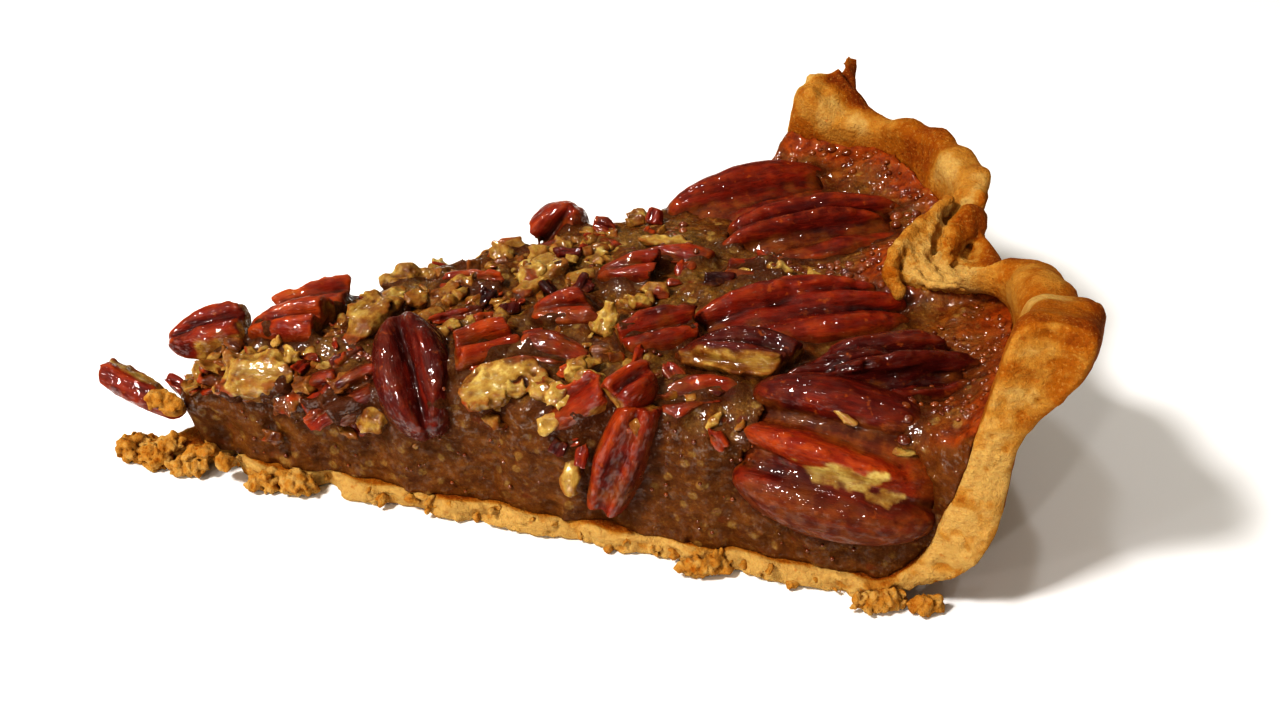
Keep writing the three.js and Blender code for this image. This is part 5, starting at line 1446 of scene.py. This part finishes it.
# ---------------------------------------------------------------- bubbles and beads of glaze
def make_bubbles(height):
    s = Soup()
    rng = np.random.default_rng(12)
    spots = []

    def scatter(n, r0, r1, t0, t1, sizes):
        for _ in range(n):
            t = rng.uniform(t0, t1)
            wall = inner_wall(np.array([t]), np.array([26.0]))[0]
            r = wall - rng.uniform(r0, r1)
            x, y = r * math.cos(math.radians(t)), r * math.sin(math.radians(t))
            spots.append((x, y, rng.uniform(*sizes)))

    scatter(70, 0.6, 3.0, -21.5, 21.5, (0.25, 0.55))
    scatter(26, 1.0, 7.0, 4.0, 21.5, (0.45, 0.95))
    scatter(60, 1.0, 10.0, -20.0, -7.0, (0.18, 0.45))
    scatter(12, 2.0, 9.0, -4.5, 3.0, (0.35, 0.8))
    for cx, cy, n, spread, sizes in (
        (92, 1.5, 16, 2.6, (0.25, 0.75)), (96, -3.0, 12, 2.0, (0.25, 0.7)), (101, -2.0, 8, 1.6, (0.3, 0.8)),
        (98, -36, 14, 2.6, (0.25, 0.8)), (105, -33, 12, 2.2, (0.25, 0.7)), (88, -37.5, 10, 2.0, (0.2, 0.5)),
        (72, -17.5, 10, 2.4, (0.2, 0.45)), (70, -6, 10, 2.5, (0.2, 0.5)), (62, 9, 10, 3.0, (0.2, 0.5)),
        (44, 3, 12, 3.0, (0.2, 0.4)), (28, -4, 10, 2.5, (0.2, 0.45)), (33, -9.5, 14, 2.5, (0.2, 0.5)),
        (75, 5, 8, 2.5, (0.25, 0.6)), (76, 16, 8, 2.5, (0.3, 0.7)), (96, 20, 10, 2.5, (0.4, 0.9)),
    ):
        for _ in range(n):
            spots.append((cx + rng.normal() * spread, cy + rng.normal() * spread, rng.uniform(*sizes)))
    rows, cols = ((5, 10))
    for x, y, r in spots:
        if past_near(x, y) > -0.8 or past_far(x, y) > -0.8:
            continue
        z = height(x, y)
        if z is None or z < 5:
            continue
        tri, quad, pts = [], [], [(0, 0, 1)]
        for i in range(1, rows + 1):
            a = i / rows * 1.75
            for j in range(cols):
                b = 2 * math.pi * j / cols
                pts.append((math.sin(a) * math.cos(b), math.sin(a) * math.sin(b), math.cos(a)))
        for j in range(cols):
            tri.append((0, 1 + j, 1 + (j + 1) % cols))
            for i in range(rows - 1):
                a, b = 1 + i * cols + j, 1 + i * cols + (j + 1) % cols
                quad.append((a, a + cols, b + cols, b))
        pts.append((0, 0, math.cos(1.75) - 0.15))
        last = len(pts) - 1
        for j in range(cols):
            tri.append((last, 1 + (rows - 1) * cols + (j + 1) % cols, 1 + (rows - 1) * cols + j))
        P = np.array(pts) * r * np.array([rng.uniform(0.9, 1.2), rng.uniform(0.9, 1.2), rng.uniform(0.7, 1.0)])
        s.add(P + np.array([x, y, z - 0.25 * r]), np.array(tri), np.array(quad))
    # beads on the near cut
    for _ in range(130):
        q = rng.uniform(14, 104)
        zt = height(q * COS, -q * SIN + 2.5)
        z = rng.uniform(4.5, max(6, zt - 0.5))
        r = rng.uniform(0.14, 0.34)
        at = np.array([q * COS, -q * SIN, z]) + np.array([-SIN, -COS, 0]) * (fill_edge_near(q) - 0.1)
        P = np.array(pts) * r
        P = P @ np.stack([[COS, -SIN, 0], [0, 0, 1], [-SIN, -COS, 0]])
        s.add(P + at, np.array(tri), np.array(quad))
    return s.object("glaze_bubbles", BUBBLE, "filling")


fill_grid, fill_field, fill_bare = make_filling()
make_nuts(fill_grid, fill_bare)
make_crust()

_solid = fill_field < 0
_top = _solid.shape[2] - 1 - np.argmax(_solid[:, :, ::-1], axis=2)
_any = _solid.any(2)


def height(x, y):
    """The filling's surface above a spot."""
    i = int(np.clip(round((x - fill_grid.low[0]) / fill_grid.h), 0, _any.shape[0] - 1))
    j = int(np.clip(round((y - fill_grid.low[1]) / fill_grid.h), 0, _any.shape[1] - 1))
    return fill_grid.low[2] + fill_grid.h * (_top[i, j] + 0.5) if _any[i, j] else 0.0


make_bits(height)
make_crumbs()
make_bubbles(height)


# ---------------------------------------------------------------- floor, light, camera
def plane(name, size, z):
    me = bpy.data.meshes.new(name)
    me.from_pydata(
        [(-size, -size, z), (size, -size, z), (size, size, z), (-size, size, z)], [], [(0, 1, 2, 3)]
    )
    o = bpy.data.objects.new(name, me)
    bpy.context.scene.collection.objects.link(o)
    return o


floor = plane("floor", 3.0, 0.0)
fm, fp = new_material("pale_floor")
fp.inputs["Base Color"].default_value = (0.86, 0.87, 0.89, 1)
fp.inputs["Roughness"].default_value = 0.45
floor.data.materials.append(fm)

scene = bpy.context.scene
world = bpy.data.worlds.new("studio")
world.use_nodes = True
world.node_tree.nodes["Background"].inputs["Color"].default_value = (1.0, 0.88, 0.68, 1)
world.node_tree.nodes["Background"].inputs["Strength"].default_value = 0.24
scene.world = world


def area(name, at, to, size, power, colour=(1, 1, 1)):
    d = bpy.data.lights.new(name, "AREA")
    d.shape = "RECTANGLE"
    d.size, d.size_y = size
    d.energy = power
    d.color = colour
    o = bpy.data.objects.new(name, d)
    bpy.context.scene.collection.objects.link(o)
    o.location = at
    v = np.array(to) - np.array(at)
    from mathutils import Vector

    o.rotation_euler = Vector(v).to_track_quat("-Z", "Y").to_euler()
    return o


area("key", (-0.62, -0.34, 0.86), (0.02, 0, 0.01), (0.16, 0.16), 11.5, (1.0, 0.97, 0.93))
area("front", (-0.62, -0.95, 0.45), (0.0, 0, 0.01), (0.05, 0.05), 2.4, (1.0, 0.96, 0.90))
area("front_low", (-0.28, -1.08, 0.40), (0.0, 0, 0.01), (0.035, 0.035), 1.0, (1.0, 0.97, 0.93))
area("left_low", (-1.00, -0.62, 0.42), (0.0, 0, 0.01), (0.035, 0.035), 1.0, (1.0, 0.97, 0.93))
area("top", (0.10, -0.15, 1.15), (0.0, 0, 0.01), (0.06, 0.06), 1.4, (1.0, 0.98, 0.95))
area("back", (-0.25, 0.75, 0.85), (0, 0, 0.01), (0.08, 0.08), 1.6, (0.96, 0.98, 1.0))

cam_data = bpy.data.cameras.new("camera")
cam_data.lens = 45
cam_data.sensor_width = 36
cam_data.clip_start = 0.01
cam = bpy.data.objects.new("camera", cam_data)
scene.collection.objects.link(cam)
cam.location = tuple((np.array([49.76, -188.73, 135.0]) + OFFSET) * 1e-3)
cam.rotation_euler = (math.radians(57), 0, math.radians(-6.35))
scene.camera = cam
scene.view_settings.view_transform = "Standard"
scene.view_settings.look = "High Contrast"
